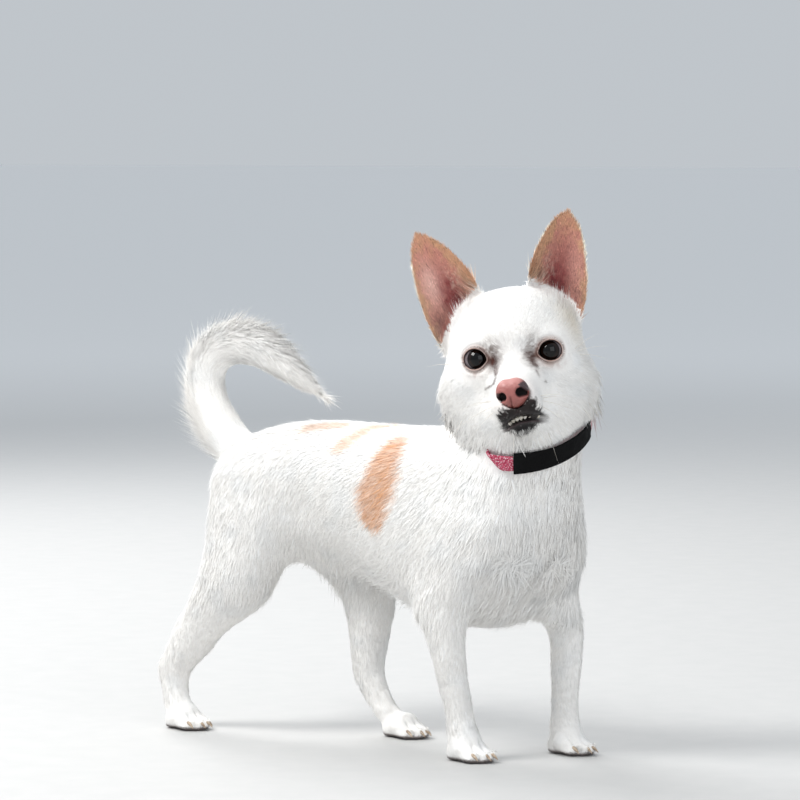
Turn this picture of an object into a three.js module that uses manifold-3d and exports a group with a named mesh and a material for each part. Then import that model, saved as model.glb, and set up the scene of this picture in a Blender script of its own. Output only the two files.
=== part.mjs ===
import * as THREE from 'three';
import { mergeVertices } from 'three/addons/utils/BufferGeometryUtils.js';
import Module from 'manifold-3d';

// A chihuahua standing with its head turned to its right. Millimetres, +Z up, the chest faces -Y.
// While it is drawn, Y is 0 at the right forefoot and X is 0 in the middle of the body.

const seam = 0.3;
const earThickness = 2.2;
const eyeRadius = 9.7;
const eyeSpacing = 48.8;
const lidThickness = 1.2;
const eyeDepth = -26.2;
const noseWidth = 22.6;
const noseHeight = 19.5;
const collarWidth = 10;
const collarThickness = 1.6;
const sleeveWidth = 17;
const sleeveThickness = 1.2;
const sleeveArc = [-156, -48];
const clawLength = 7;

const wasm = await Module();
wasm.setup();

const vec = (x, y, z) => new THREE.Vector3(x, y, z);
const clamp = THREE.MathUtils.clamp;
const lerp = THREE.MathUtils.lerp;
const radians = THREE.MathUtils.degToRad;

// Welding, joining and cutting of solids.

function weld(geometry) {
  const bare = geometry.clone();
  bare.deleteAttribute('normal');
  bare.deleteAttribute('uv');
  const joined = mergeVertices(bare, 1e-4);
  const kept = [];
  for (let i = 0; i < joined.index.count; i += 3) {
    const [a, b, c] = [0, 1, 2].map((k) => joined.index.getX(i + k));
    if (a !== b && b !== c && c !== a) kept.push(a, b, c);
  }
  joined.setIndex(kept);
  return joined;
}

function solid(geometry) {
  const joined = weld(geometry);
  return new wasm.Manifold(new wasm.Mesh({
    numProp: 3,
    vertProperties: new Float32Array(joined.attributes.position.array),
    triVerts: new Uint32Array(joined.index.array),
  }));
}

function largest(form) {
  return form.decompose().reduce((best, piece) => (piece.volume() > best.volume() ? piece : best));
}

function geometryOf(form) {
  const mesh = largest(form).getMesh();
  const geometry = new THREE.BufferGeometry();
  geometry.setAttribute('position', new THREE.BufferAttribute(mesh.vertProperties.slice(), mesh.numProp));
  geometry.setIndex(Array.from(mesh.triVerts));
  geometry.computeVertexNormals();
  return geometry;
}

function union(forms) {
  return largest(wasm.Manifold.union(forms));
}

// All that lies ahead of a plane, as a block to keep or to take away.
function ahead(point, normal, size = 600) {
  const block = new THREE.BoxGeometry(size, size, size);
  block.translate(0, 0, size / 2);
  const turn = new THREE.Quaternion().setFromUnitVectors(vec(0, 0, 1), normal.clone().normalize());
  block.applyQuaternion(turn);
  block.translate(point.x, point.y, point.z);
  return solid(block);
}

// The part of a form ahead of a plane, half a seam away from it.
function keepAhead(form, point, normal) {
  const start = point.clone().addScaledVector(normal.clone().normalize(), seam / 2);
  return form.intersect(ahead(start, normal));
}

// Soft forms, as signed distances.

function blend(a, b, radius) {
  const share = Math.max(radius - Math.abs(a - b), 0) / radius;
  return Math.min(a, b) - (share * share * radius) / 4;
}

function ellipsoid(centre, radii, soft = 8) {
  const least = Math.min(...radii);
  const measure = (p) => {
    const dx = (p.x - centre[0]) / radii[0];
    const dy = (p.y - centre[1]) / radii[1];
    const dz = (p.z - centre[2]) / radii[2];
    return (Math.sqrt(dx * dx + dy * dy + dz * dz) - 1) * least;
  };
  return { measure, soft };
}

// A tapered limb between two points, narrower or wider across the body by a factor.
function limb(from, startRadius, to, endRadius, across = 1, soft = 8) {
  const start = vec(...from);
  const span = vec(...to).sub(start);
  const lengthSq = span.lengthSq();
  const offset = vec(0, 0, 0);
  const measure = (p) => {
    offset.copy(p).sub(start);
    const t = clamp(offset.dot(span) / lengthSq, 0, 1);
    offset.addScaledVector(span, -t);
    offset.x /= across;
    return offset.length() - lerp(startRadius, endRadius, t);
  };
  return { measure, soft };
}

function together(forms) {
  return (p) => {
    let distance = forms[0].measure(p);
    for (let i = 1; i < forms.length; i += 1) distance = blend(distance, forms[i].measure(p), forms[i].soft);
    return distance;
  };
}

// How far a ray runs from inside a soft form to its surface.
function runOut(form, origin, direction, reach, grow) {
  const step = 1.5;
  const p = vec(0, 0, 0);
  const at = (r) => form(p.copy(origin).addScaledVector(direction, r)) - grow;
  let near = 0;
  let far = step;
  while (far < reach && at(far) < 0) {
    near = far;
    far += step;
  }
  if (far >= reach) return reach;
  for (let i = 0; i < 14; i += 1) {
    const middle = (near + far) / 2;
    if (at(middle) < 0) near = middle;
    else far = middle;
  }
  return near;
}

// A capsule laid along a spine, each of its vertices moved out to the surface of a soft form.
function wrap({ spine, form, around, along, caps = 4, reach = 80, grow = 0, side = vec(1, 0, 0) }) {
  const shell = weld(new THREE.CapsuleGeometry(1, 2, caps, around, along));
  const spots = shell.attributes.position;
  const spot = vec(0, 0, 0);
  for (let i = 0; i < spots.count; i += 1) {
    spot.fromBufferAttribute(spots, i);
    const t = clamp((spot.y + 1) / 2, 0, 1);
    const origin = spine.getPointAt(t);
    const tangent = spine.getTangentAt(t);
    const across = side.clone().addScaledVector(tangent, -side.dot(tangent)).normalize();
    const front = across.clone().cross(tangent);
    const over = spot.y - clamp(spot.y, -1, 1);
    const direction = across.multiplyScalar(spot.x).addScaledVector(tangent, over);
    direction.addScaledVector(front, spot.z).normalize();
    const distance = runOut(form, origin, direction, reach, grow);
    origin.addScaledVector(direction, distance);
    spots.setXYZ(i, origin.x, origin.y, origin.z);
  }
  return shell;
}

function curve(points) {
  return new THREE.CatmullRomCurve3(points.map((p) => vec(...p)), false, 'centripetal');
}

// The trunk: half width, top and underline at stations along the body.

const trunkStations = [
  { y: 0, half: 57, top: 223, base: 82 },
  { y: 40, half: 59, top: 228, base: 84 },
  { y: 77, half: 56, top: 229, base: 99 },
  { y: 100, half: 52, top: 230, base: 113 },
  { y: 127, half: 46, top: 231, base: 121 },
  { y: 157, half: 42, top: 231, base: 123 },
  { y: 190, half: 43, top: 228, base: 124 },
  { y: 215, half: 42, top: 219, base: 126 },
];
const breastDepth = 48;
const rumpDepth = 32;
const broadAbove = 0.14;

function between(rows, y, key) {
  const last = rows.length - 1;
  let i = rows.findIndex((row) => row.y > y) - 1;
  if (i < 0) i = y < rows[0].y ? 0 : last - 1;
  const slope = (k) => {
    const a = rows[Math.max(k - 1, 0)];
    const b = rows[Math.min(k + 1, last)];
    return (b[key] - a[key]) / (b.y - a.y);
  };
  const gap = rows[i + 1].y - rows[i].y;
  const t = clamp((y - rows[i].y) / gap, 0, 1);
  const t2 = t * t;
  const t3 = t2 * t;
  return (2 * t3 - 3 * t2 + 1) * rows[i][key] + (t3 - 2 * t2 + t) * gap * slope(i)
    + (3 * t2 - 2 * t3) * rows[i + 1][key] + (t3 - t2) * gap * slope(i + 1);
}

function trunk(p) {
  const first = trunkStations[0].y;
  const last = trunkStations[trunkStations.length - 1].y;
  const y = clamp(p.y, first, last);
  const top = between(trunkStations, y, 'top');
  const base = between(trunkStations, y, 'base');
  const tall = (top - base) / 2;
  const level = (p.z - (top + base) / 2) / tall;
  const half = between(trunkStations, y, 'half') * (1 + broadAbove * clamp(level, -1, 1));
  const depth = p.y < first ? breastDepth : rumpDepth;
  const beyond = (p.y - y) / depth;
  return (Math.hypot(p.x / half, level, beyond) - 1) * Math.min(half, tall, depth);
}

// The legs: the middle of each joint and the radius there.

const legs = {
  foreRight: {
    shoulder: [-39, -14, 148], shoulderRadius: 23,
    joints: [[-47, 14, 104], [-46, 9, 86], [-42, 6, 60], [-38, 3, 33], [-37, 0, 18]],
    radii: [19, 16, 14.2, 12.6, 12],
    paw: [-36, -2, 0],
  },
  foreLeft: {
    shoulder: [38, -29, 148], shoulderRadius: 23,
    joints: [[49, -15, 104], [49, -23, 86], [45, -25, 60], [40, -27, 33], [38, -29, 18]],
    radii: [19, 16, 13.9, 12, 11.6],
    paw: [37, -32, 0],
  },
  hindRight: {
    shoulder: [-28, 205, 168], shoulderRadius: 36,
    joints: [[-35, 207, 114], [-39, 223, 98], [-37, 250, 66], [-36, 272, 42], [-36, 267, 20]],
    radii: [33, 26, 19, 14, 11],
    paw: [-36, 260, 0],
  },
  hindLeft: {
    shoulder: [28, 196, 168], shoulderRadius: 36,
    joints: [[34, 150, 116], [33, 142, 98], [30, 141, 66], [29, 143, 42], [29, 125, 20]],
    radii: [30, 24, 18, 14, 11],
    paw: [29, 110, 0],
  },
};
const legFlatness = 0.82;

function legForms(leg, soft) {
  const forms = [limb(leg.shoulder, leg.shoulderRadius, leg.joints[0], leg.radii[0], legFlatness, soft)];
  for (let i = 1; i < leg.joints.length; i += 1) {
    forms.push(limb(leg.joints[i - 1], leg.radii[i - 1], leg.joints[i], leg.radii[i], legFlatness, 6));
  }
  return forms;
}

// The head, drawn in its own frame: mid-eye height is 0, x to the dog's left, -y to the nose.

const headPlace = vec(-17, -30, 277);
const headTurn = -56;
const headPitch = 3;
const headRoll = -7;

const headMatrix = new THREE.Matrix4()
  .makeTranslation(headPlace.x, headPlace.y, headPlace.z)
  .multiply(new THREE.Matrix4().makeRotationZ(radians(headTurn)))
  .multiply(new THREE.Matrix4().makeRotationX(radians(-headPitch)))
  .multiply(new THREE.Matrix4().makeRotationY(radians(headRoll)));
const headInverse = headMatrix.clone().invert();

function both(make) {
  return [make(-1), make(1)];
}

const headForms = [
  ellipsoid([0, 6, 9], [46, 42, 38]),
  ellipsoid([0, -13, 17], [33, 25, 27], 10),
  ...both((s) => ellipsoid([s * 28 - 1.2, 0, -19], [25.5, 27, 28], 10)),
  ...both((s) => limb([s * 15, -31, -15], 8, [s * 34, -18, -13], 11, 1, 8)),
  ...both((s) => limb([s * 12, -31, 12], 6, [s * 31, -19, 11], 7, 1, 12)),
  ...both((s) => ellipsoid([(s * eyeSpacing) / 2, eyeDepth - 0.6, 0], [10.6, 10.2, 10.3], 7)),
  limb([0, -32, -21], 17, [0, -54, -28], 12.5, 1.1, 10),
  ...both((s) => ellipsoid([s * 8.5, -48, -33.5], [10, 13.5, 10], 5)),
  limb([0, -50.5, -48.5], 5.6, [0, -20, -45], 13, 1.35, 5),
  ...both((s) => ellipsoid([s * 18, -10, -38], [20, 24, 18], 10)),
  ellipsoid([0, 2, -42], [34, 30, 24], 10),
];
const headLocal = together(headForms);
const headSpot = vec(0, 0, 0);
const head = (p) => headLocal(headSpot.copy(p).applyMatrix4(headInverse));

// Neck, tail root and the whole body as one soft form.

const neckPoints = [[0, 26, 172], [-1, -17, 198], [-6, -33, 228], [-15, -32, 260]];
const neckRadii = [46, 44, 38, 37];
const neckForms = [1, 2, 3].map((i) => (
  limb(neckPoints[i - 1], neckRadii[i - 1], neckPoints[i], neckRadii[i], 1, 14)
));

const tailPoints = [
  [0, 212, 182], [0, 226, 193], [0, 241, 206], [0, 259, 222], [0, 270, 239], [0, 273, 253], [0, 268, 266],
  [0, 254, 276], [0, 235, 280], [0, 214, 276], [0, 194, 266], [0, 177, 256], [0, 164, 250],
];
const tailRadii = [15, 14.5, 13, 11.5, 11.2, 11, 11, 11, 11, 10.5, 9.5, 7.5, 4.5];
const tailInset = [0, 1, 3, 4, 4, 4, 4, 4, 4, 3.5, 3, 2.5, 1.5];

// The core of the tail lies nearer the inside of the curl, and the locks fill the outside.
const tailMiddle = curve(tailPoints);
const tailCore = tailPoints.map((point, i) => {
  const tangent = tailMiddle.getTangent(i / (tailPoints.length - 1));
  return [point[0], point[1] - tangent.z * tailInset[i], point[2] + tangent.y * tailInset[i]];
});
const tailForms = tailCore.slice(1).map((point, i) => (
  limb(tailCore[i], tailRadii[i], point, tailRadii[i + 1], 1, i === 0 ? 12 : 4)
));

const bodyForms = [
  { measure: trunk, soft: 1 },
  ellipsoid([9, -19, 168], [46, 38, 52], 14),
  ...neckForms,
  ...Object.values(legs).flatMap((leg) => legForms(leg, 16)),
  ...tailForms.slice(0, 2),
];
const bodyOnly = together(bodyForms);
const body = (p) => blend(bodyOnly(p), head(p), 12);
const tailOnly = together(tailForms);
const tailRooted = 200;
const tailForm = (p) => (p.y > tailRooted ? blend(tailOnly(p), bodyOnly(p), 10) : tailOnly(p));

// The collar's place on the neck.

const collarCentre = vec(-6, -33, 228);
const collarAxis = vec(-0.47, -0.24, 0.85).normalize();
const collarSide = vec(1, 0, 0).addScaledVector(collarAxis, -collarAxis.x).normalize();
const collarFront = collarAxis.clone().cross(collarSide);
const collarSink = 2;

// Where the body is parted.

const cuts = {
  headNeck: { point: collarCentre.clone().addScaledVector(collarAxis, 11), normal: collarAxis },
  neckChest: { point: vec(0, -12, 200), normal: vec(-0.1, -0.5, 0.86) },
  chestLoin: { point: vec(0, 84, 160), normal: vec(0, -1, 0) },
  loinHaunch: { point: vec(0, 152, 160), normal: vec(0, -1, 0) },
  elbow: { point: vec(37, 0, 94), normal: vec(0.55, 0, -0.83) },
  hindKnee: 116,
};

const parts = new Map();
const add = (name, form, colour) => parts.set(name, { form, colour });

const coatWhite = '#e9e4da';

// Trunk.
const trunkSpine = curve([[0, -14, 150], [0, 40, 155], [0, 110, 170], [0, 160, 176], [0, 216, 172]]);
const trunkShell = solid(wrap({ spine: trunkSpine, form: body, around: 32, along: 16, caps: 6, reach: 105 }));
const box = (x0, x1, y0, y1, z0, z1) => {
  const block = new THREE.BoxGeometry(x1 - x0, y1 - y0, z1 - z0);
  block.translate((x0 + x1) / 2, (y0 + y1) / 2, (z0 + z1) / 2);
  return solid(block);
};
const underHind = box(-100, 100, 106, 320, -80, 0).translate(0, 0, cuts.hindKnee + seam / 2);
const legless = trunkShell.subtract(underHind);

const behind = (cut) => cut.normal.clone().negate();
const elbowCut = (s) => ({
  point: cuts.elbow.point.clone().setX(cuts.elbow.point.x * s),
  normal: cuts.elbow.normal.clone().setX(cuts.elbow.normal.x * s),
});
let chest = keepAhead(keepAhead(trunkShell, cuts.neckChest.point, behind(cuts.neckChest)),
  cuts.chestLoin.point, cuts.chestLoin.normal);
for (const s of [-1, 1]) chest = keepAhead(chest, elbowCut(s).point, behind(elbowCut(s)));
const loin = keepAhead(keepAhead(legless, cuts.chestLoin.point, behind(cuts.chestLoin)),
  cuts.loinHaunch.point, cuts.loinHaunch.normal);
const haunch = keepAhead(legless, cuts.loinHaunch.point, behind(cuts.loinHaunch));

// Neck and head.
const neckShell = solid(wrap({
  spine: curve([[0, 20, 160], [-1, -14, 196], [-6, -30, 226], [-13, -31, 252]]),
  form: body, around: 28, along: 10, caps: 2, reach: 80,
}));
const neck = keepAhead(keepAhead(neckShell, cuts.neckChest.point, cuts.neckChest.normal),
  cuts.headNeck.point, behind(cuts.headNeck));

const bodySpot = vec(0, 0, 0);

// A ball round one point of the head, its poles at the nose and the nape, moved out to the surface.
function headShell(grow, around, rows) {
  const ball = weld(new THREE.SphereGeometry(1, around, rows));
  ball.rotateX(-Math.PI / 2);
  const spots = ball.attributes.position;
  const origin = vec(0, -6, -8);
  const spot = vec(0, 0, 0);
  for (let i = 0; i < spots.count; i += 1) {
    spot.fromBufferAttribute(spots, i).normalize();
    const polar = Math.acos(clamp(-spot.y, -1, 1));
    const drawn = polar - 0.38 * Math.sin(polar);
    const ring = Math.hypot(spot.x, spot.z);
    const across = ring > 1e-9 ? Math.sin(drawn) / ring : 0;
    spot.set(spot.x * across, -Math.cos(drawn), spot.z * across);
    const far = runOut(bodyAtHead, origin, spot, 90, grow);
    spot.multiplyScalar(far).add(origin);
    spots.setXYZ(i, spot.x, spot.y, spot.z);
  }
  return ball;
}

const bodyAtHead = (p) => body(bodySpot.copy(p).applyMatrix4(headMatrix));
const inPlace = (geometry) => geometry.clone().applyMatrix4(headMatrix);

const headAround = 38;
const headRows = 25;
const skull = headShell(0, headAround, headRows);
const headGrown = solid(inPlace(headShell(seam, headAround, headRows)));

// Eyes, lids and sockets.
const eyeCentre = (s) => vec((s * eyeSpacing) / 2, eyeDepth, 0);
const ball = (radius, centre, around = 16, rows = 8) => {
  const sphere = new THREE.SphereGeometry(radius, around, rows);
  sphere.rotateX(-Math.PI / 2);
  sphere.translate(centre.x, centre.y, centre.z);
  return sphere;
};

// The almond edge of the lids, as a direction from the middle of the eyeball.
const lidHalfWidth = 8;
const lidHalfHeight = { upper: 6.6, lower: 6.1 };

function lidEdge(s, angle) {
  const high = Math.sin(angle) > 0 ? lidHalfHeight.upper : lidHalfHeight.lower;
  const x = Math.cos(angle) * lidHalfWidth;
  const z = Math.sin(angle) * high;
  return vec(x, -Math.sqrt(eyeRadius ** 2 - x * x - z * z), z).applyAxisAngle(vec(0, 0, 1), radians(s * 9));
}

// The gap between the lids, pushed through along the line of sight.
function lidGap(s) {
  const almond = new THREE.Shape();
  const steps = 18;
  for (let i = 0; i < steps; i += 1) {
    const p = lidEdge(s, (i / steps) * Math.PI * 2).applyAxisAngle(vec(0, 0, 1), radians(-s * 9));
    if (i === 0) almond.moveTo(p.x, p.z);
    else almond.lineTo(p.x, p.z);
  }
  almond.closePath();
  const bar = new THREE.ExtrudeGeometry(almond, { depth: 30, bevelEnabled: false });
  bar.rotateX(Math.PI / 2);
  bar.rotateZ(radians(s * 9));
  const c = eyeCentre(s);
  bar.translate(c.x, c.y, c.z);
  return bar;
}

// The rim that stands up round the gap.
function lidRim(s) {
  const rim = weld(new THREE.TorusGeometry(10, 1, 6, 20));
  const spots = rim.attributes.position;
  for (let i = 0; i < spots.count; i += 1) {
    const x = spots.getX(i);
    const y = spots.getY(i);
    const side = Math.hypot(x, y) - 10;
    const edge = lidEdge(s, Math.atan2(y, x));
    const axis = edge.clone().normalize();
    const outward = edge.clone().sub(vec(0, edge.y, 0)).normalize();
    edge.addScaledVector(outward, side * 1.15 + 0.5).addScaledVector(axis, 0.75 + spots.getZ(i) * 0.95);
    edge.add(eyeCentre(s));
    spots.setXYZ(i, edge.x, edge.y, edge.z);
  }
  return rim;
}

let headSolid = solid(skull);
for (const s of [-1, 1]) {
  headSolid = headSolid.add(solid(ball(eyeRadius + lidThickness, eyeCentre(s))));
  headSolid = headSolid.subtract(solid(lidGap(s))).add(solid(lidRim(s)));
  headSolid = headSolid.subtract(solid(ball(eyeRadius + seam, eyeCentre(s))));
}

// Nose.
function noseForm(grow) {
  const pad = new THREE.SphereGeometry(1, 16, 10);
  pad.rotateX(-Math.PI / 2);
  const spots = pad.attributes.position;
  for (let i = 0; i < spots.count; i += 1) {
    const x = spots.getX(i);
    const y = spots.getY(i);
    const z = spots.getZ(i);
    const narrow = 1 - 0.22 * clamp(-z, 0, 1);
    spots.setXYZ(
      i,
      Math.sign(x) * Math.abs(x) ** 0.86 * (noseWidth / 2 + grow) * narrow,
      -60.5 + y * (8.5 + grow) - z * 1.5,
      -26.5 + Math.sign(z) * Math.abs(z) ** 0.9 * (noseHeight / 2 + grow),
    );
  }
  return pad;
}

function nostril(s) {
  const hole = new THREE.SphereGeometry(1, 8, 6);
  hole.scale(2.7, 5, 1.9);
  hole.rotateY(radians(s * 24));
  hole.translate(s * 5.4, -68.2, -26);
  return hole;
}

let noseSolid = solid(noseForm(0));
for (const s of [-1, 1]) noseSolid = noseSolid.subtract(solid(nostril(s)));
const groove = new THREE.CylinderGeometry(0.7, 0.7, 14, 6);
groove.translate(0, -69.2, -33);
noseSolid = noseSolid.subtract(solid(groove));
headSolid = headSolid.subtract(solid(noseForm(seam)));

// The mouth: a wedge that follows the lips round the muzzle, a little open in front.
const mouthHalf = 17;
const mouthFront = -60;
const mouthCorner = -36;
const mouthHeight = -43.8;
const mouthSweep = radians(78);
const mouthOpen = 3.4;

function lipPoint(a, inward) {
  const share = Math.sin(a * mouthSweep) / Math.sin(mouthSweep);
  const back = (1 - Math.cos(a * mouthSweep)) / (1 - Math.cos(mouthSweep));
  const x = (mouthHalf - inward) * share;
  const y = mouthFront + inward + (mouthCorner - mouthFront) * back;
  return vec(x, y, mouthHeight - 1.5 + 3.5 * a * a);
}

function mouthForm() {
  const slot = new THREE.BoxGeometry(2, 1, 1, 20, 1, 1);
  const spots = slot.attributes.position;
  for (let i = 0; i < spots.count; i += 1) {
    const a = spots.getX(i);
    const outside = spots.getY(i) < 0;
    const p = lipPoint(a, outside ? -7 : 9);
    const open = outside ? lerp(mouthOpen, 1, Math.abs(a) ** 0.8) : lerp(mouthOpen * 0.7, 0.6, Math.abs(a));
    spots.setXYZ(i, p.x, p.y, p.z + spots.getZ(i) * open + (spots.getZ(i) > 0 ? 0.4 : 0));
  }
  return slot;
}

// The lower incisors, a row of small pegs that stand on the lower jaw just inside the lip.
const toothCount = 6;

function incisors() {
  const pegs = [];
  for (let i = 0; i < toothCount; i += 1) {
    const a = (i - (toothCount - 1) / 2) * 0.115;
    const p = lipPoint(a, 5.2);
    const peg = new THREE.CylinderGeometry(0.62, 0.9, 4.6, 6);
    peg.scale(1, 1, 0.75);
    peg.rotateX(Math.PI / 2);
    peg.translate(p.x, p.y, p.z - 1.9);
    pegs.push(solid(peg));
  }
  return pegs;
}
headSolid = union([headSolid.subtract(solid(mouthForm())), ...incisors()]);
headSolid = solid(inPlace(geometryOf(headSolid)));
headSolid = keepAhead(headSolid, cuts.headNeck.point, cuts.headNeck.normal);

// Ears: a cupped sheet between two curved margins, deepest towards the base.
const earMargins = {
  '-1': {
    inner: [vec(-19.5, 0, 47), vec(-30, 5, 75), vec(-56.5, 12, 93)],
    outer: [vec(-55.5, 8, 17), vec(-70, 8, 62), vec(-63.5, 12, 89)],
  },
  1: {
    inner: [vec(13, 0, 48.5), vec(19, 5, 77), vec(41.5, 12, 96)],
    outer: [vec(48.5, 8, 18), vec(60, 8, 64), vec(50, 12, 92)],
  },
};
const earCup = 15;
const earRoot = 0.26;

function ear(s) {
  const across = 10;
  const up = 12;
  const sheet = new THREE.PlaneGeometry(2, 1, across, up);
  const spots = sheet.attributes.position;
  const inner = new THREE.QuadraticBezierCurve3(...earMargins[s].inner);
  const outer = new THREE.QuadraticBezierCurve3(...earMargins[s].outer);
  const rearward = vec(-0.25 * s, 1, -0.1).normalize();
  const front = [];
  const back = [];
  for (let i = 0; i < spots.count; i += 1) {
    const u = spots.getX(i);
    const t = spots.getY(i) + 0.5;
    const rise = t * (1 + earRoot) - earRoot;
    const run = clamp(rise, 0, 1);
    const from = inner.getPoint(run);
    const to = outer.getPoint(run);
    const deep = earCup * lerp(1, 0.06, Math.min(run * 1.15, 1) ** 0.8);
    const bow = 1 - u * u;
    const closing = Math.sqrt(1 - run ** 9 * 0.98);
    const p = from.lerp(to, (u * closing + 1) / 2).addScaledVector(rearward, deep * bow);
    if (rise < 0) p.addScaledVector(vec(-14 * s, 8, -34), -rise / earRoot);
    const thick = earThickness * lerp(1, 0.6, run) * (1 - 0.45 * u * u);
    front.push(p);
    back.push(p.clone().addScaledVector(rearward, thick).addScaledVector(vec(s, 0, 0), u * 0.5 * thick));
  }
  return closeSheet(sheet.index, front, back, across, up, s < 0);
}

// Two like-faced sheets joined round their rim.
function closeSheet(faces, front, back, across, up, flip) {
  const total = front.length;
  const index = [];
  const face = (a, b, c) => (flip ? index.push(a, c, b) : index.push(a, b, c));
  for (let i = 0; i < faces.count; i += 3) {
    const [a, b, c] = [0, 1, 2].map((k) => faces.getX(i + k));
    face(a, b, c);
    face(total + a, total + c, total + b);
  }
  const at = (column, row) => row * (across + 1) + column;
  const rim = [];
  for (let i = 0; i < across; i += 1) rim.push(at(i, 0));
  for (let i = 0; i < up; i += 1) rim.push(at(across, i));
  for (let i = across; i > 0; i -= 1) rim.push(at(i, up));
  for (let i = up; i > 0; i -= 1) rim.push(at(0, i));
  rim.forEach((a, i) => {
    const b = rim[(i + 1) % rim.length];
    face(a, b, total + a);
    face(b, total + b, total + a);
  });
  const geometry = new THREE.BufferGeometry();
  geometry.setFromPoints([...front, ...back]);
  geometry.setIndex(index);
  return geometry;
}

// Legs below the body.
const hoofline = 22;
function legShell(name, side) {
  const leg = legs[name];
  const spine = curve([leg.shoulder, ...leg.joints]);
  return solid(wrap({ spine, form: bodyOnly, around: 12, along: 16, caps: 2, reach: 45, side }));
}

function slice(form, high, low) {
  const top = keepAhead(form, vec(0, 0, high), vec(0, 0, -1));
  return keepAhead(top, vec(0, 0, low), vec(0, 0, 1));
}

// A paw: four toes, the middle two ahead, on pads that stand flat on the ground.
function pawForm([x, y], wide) {
  const toes = [-1.5, -0.5, 0.5, 1.5].map((k) => {
    const inner = Math.abs(k) < 1;
    const tipY = y - (inner ? 17 : 11);
    return limb([x + k * 5, y - 2, 8], 6.2, [x + k * 6.1, tipY, 3.6], 5.4, 1, 2.2);
  });
  return [
    limb([x, y + 8, 5], 7.8, [x, y - 3, 9], 9.8, wide, 5),
    ...toes,
  ];
}

function pawShell(name) {
  const leg = legs[name];
  const forms = [...pawForm(leg.paw, 1.15), ...legForms(leg, 6).slice(-1)];
  const shape = together(forms);
  const [x, y] = leg.paw;
  const spine = curve([[x, y + 8, 9], [x, y - 6, 9]]);
  return solid(wrap({ spine, form: shape, around: 16, along: 3, caps: 4, reach: 26 }));
}

function claws([x, y]) {
  return [-1.5, -0.5, 0.5, 1.5].map((k) => {
    const inner = Math.abs(k) < 1;
    const claw = new THREE.ConeGeometry(1.6, clawLength, 5, 2);
    claw.translate(0, clawLength / 2, 0);
    const spots = claw.attributes.position;
    for (let i = 0; i < spots.count; i += 1) {
      const h = spots.getY(i) / clawLength;
      spots.setZ(i, spots.getZ(i) + 1.6 * h * h);
    }
    claw.rotateX(radians(112));
    claw.rotateZ(radians(-k * 7));
    claw.translate(x + k * 6.2, y - (inner ? 19.5 : 13.5), 4.8);
    return solid(claw);
  });
}

add('head', headSolid, coatWhite);
add('nose', solid(inPlace(geometryOf(noseSolid))), '#b56a5e');
for (const [s, name] of [[-1, 'right'], [1, 'left']]) {
  add(`eye_${name}`, solid(inPlace(ball(eyeRadius, eyeCentre(s)))), '#1a0f0c');
  add(`ear_${name}`, solid(inPlace(ear(s))).subtract(headGrown), '#c99a78');
}
add('neck', neck, coatWhite);
add('chest', chest, coatWhite);
add('loin', loin, coatWhite);
add('haunches', haunch, coatWhite);

const legNames = {
  foreRight: 'foreleg_right', foreLeft: 'foreleg_left', hindRight: 'hindleg_right', hindLeft: 'hindleg_left',
};
for (const [key, name] of Object.entries(legNames)) {
  const fore = key.startsWith('fore');
  const shell = legShell(key);
  const low = keepAhead(shell, vec(0, 0, hoofline), vec(0, 0, 1));
  const elbow = elbowCut(key.endsWith('Left') ? 1 : -1);
  const top = fore ? elbow : { point: vec(0, 0, cuts.hindKnee), normal: vec(0, 0, -1) };
  add(name, keepAhead(low, top.point, top.normal), coatWhite);
  const paw = union([pawShell(key), ...claws(legs[key].paw)]);
  add(name.replace('leg', 'paw'), slice(paw, hoofline, -seam / 2), coatWhite);
}

// Tail: a core with bristly locks on the outside of the curl, in three lengths.
const tailCurve = curve(tailCore);
const tailShell = solid(wrap({
  spine: tailCurve, form: tailForm, around: 12, along: 24, caps: 3, reach: 24,
}));
const lockRows = 11;
const lockAngles = [-72, -25, 25, 72];
const lockLength = 20;
const lockWidth = 9.5;
const lockThickness = 2.6;
const lockStart = 0.17;
const lockEnd = 0.9;
const tipLocks = 5;

let seed = 11;
function random() {
  seed = (seed * 16807) % 2147483647;
  return seed / 2147483647;
}
const vary = (amount) => 1 + (random() - 0.5) * 2 * amount;

// A flat lock that tapers to its tip and bends over along the lie of the coat.
function lock(origin, rise, lie, length, width) {
  const blade = weld(new THREE.ConeGeometry(1, 1, 4, 3));
  blade.translate(0, 0.5, 0);
  const across = lie.clone().cross(rise).normalize();
  const spots = blade.attributes.position;
  for (let i = 0; i < spots.count; i += 1) {
    const h = spots.getY(i);
    const up = rise.clone().multiplyScalar(0.85 * h - 0.2 * h * h);
    const over = lie.clone().multiplyScalar(0.55 * h + 0.3 * h * h);
    const spread = 1 + 2.1 * h;
    const p = origin.clone().addScaledVector(up.add(over), length);
    p.addScaledVector(across, spots.getX(i) * spread * (width / 2));
    p.addScaledVector(rise, spots.getZ(i) * (lockThickness / 2));
    spots.setXYZ(i, p.x, p.y, p.z);
  }
  return solid(blade);
}

// The frame of the tail at one place: outward of the curl, along to the tip, and the core's radius.
function tailPlace(t) {
  const lie = tailCurve.getTangentAt(t);
  const out = vec(0, lie.z, -lie.y).normalize();
  const last = tailRadii.length - 1;
  const u = tailCurve.getUtoTmapping(t, 0) * last;
  const i = Math.min(Math.floor(u), last - 1);
  return { at: tailCurve.getPointAt(t), lie, out, radius: lerp(tailRadii[i], tailRadii[i + 1], u - i) };
}

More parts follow.
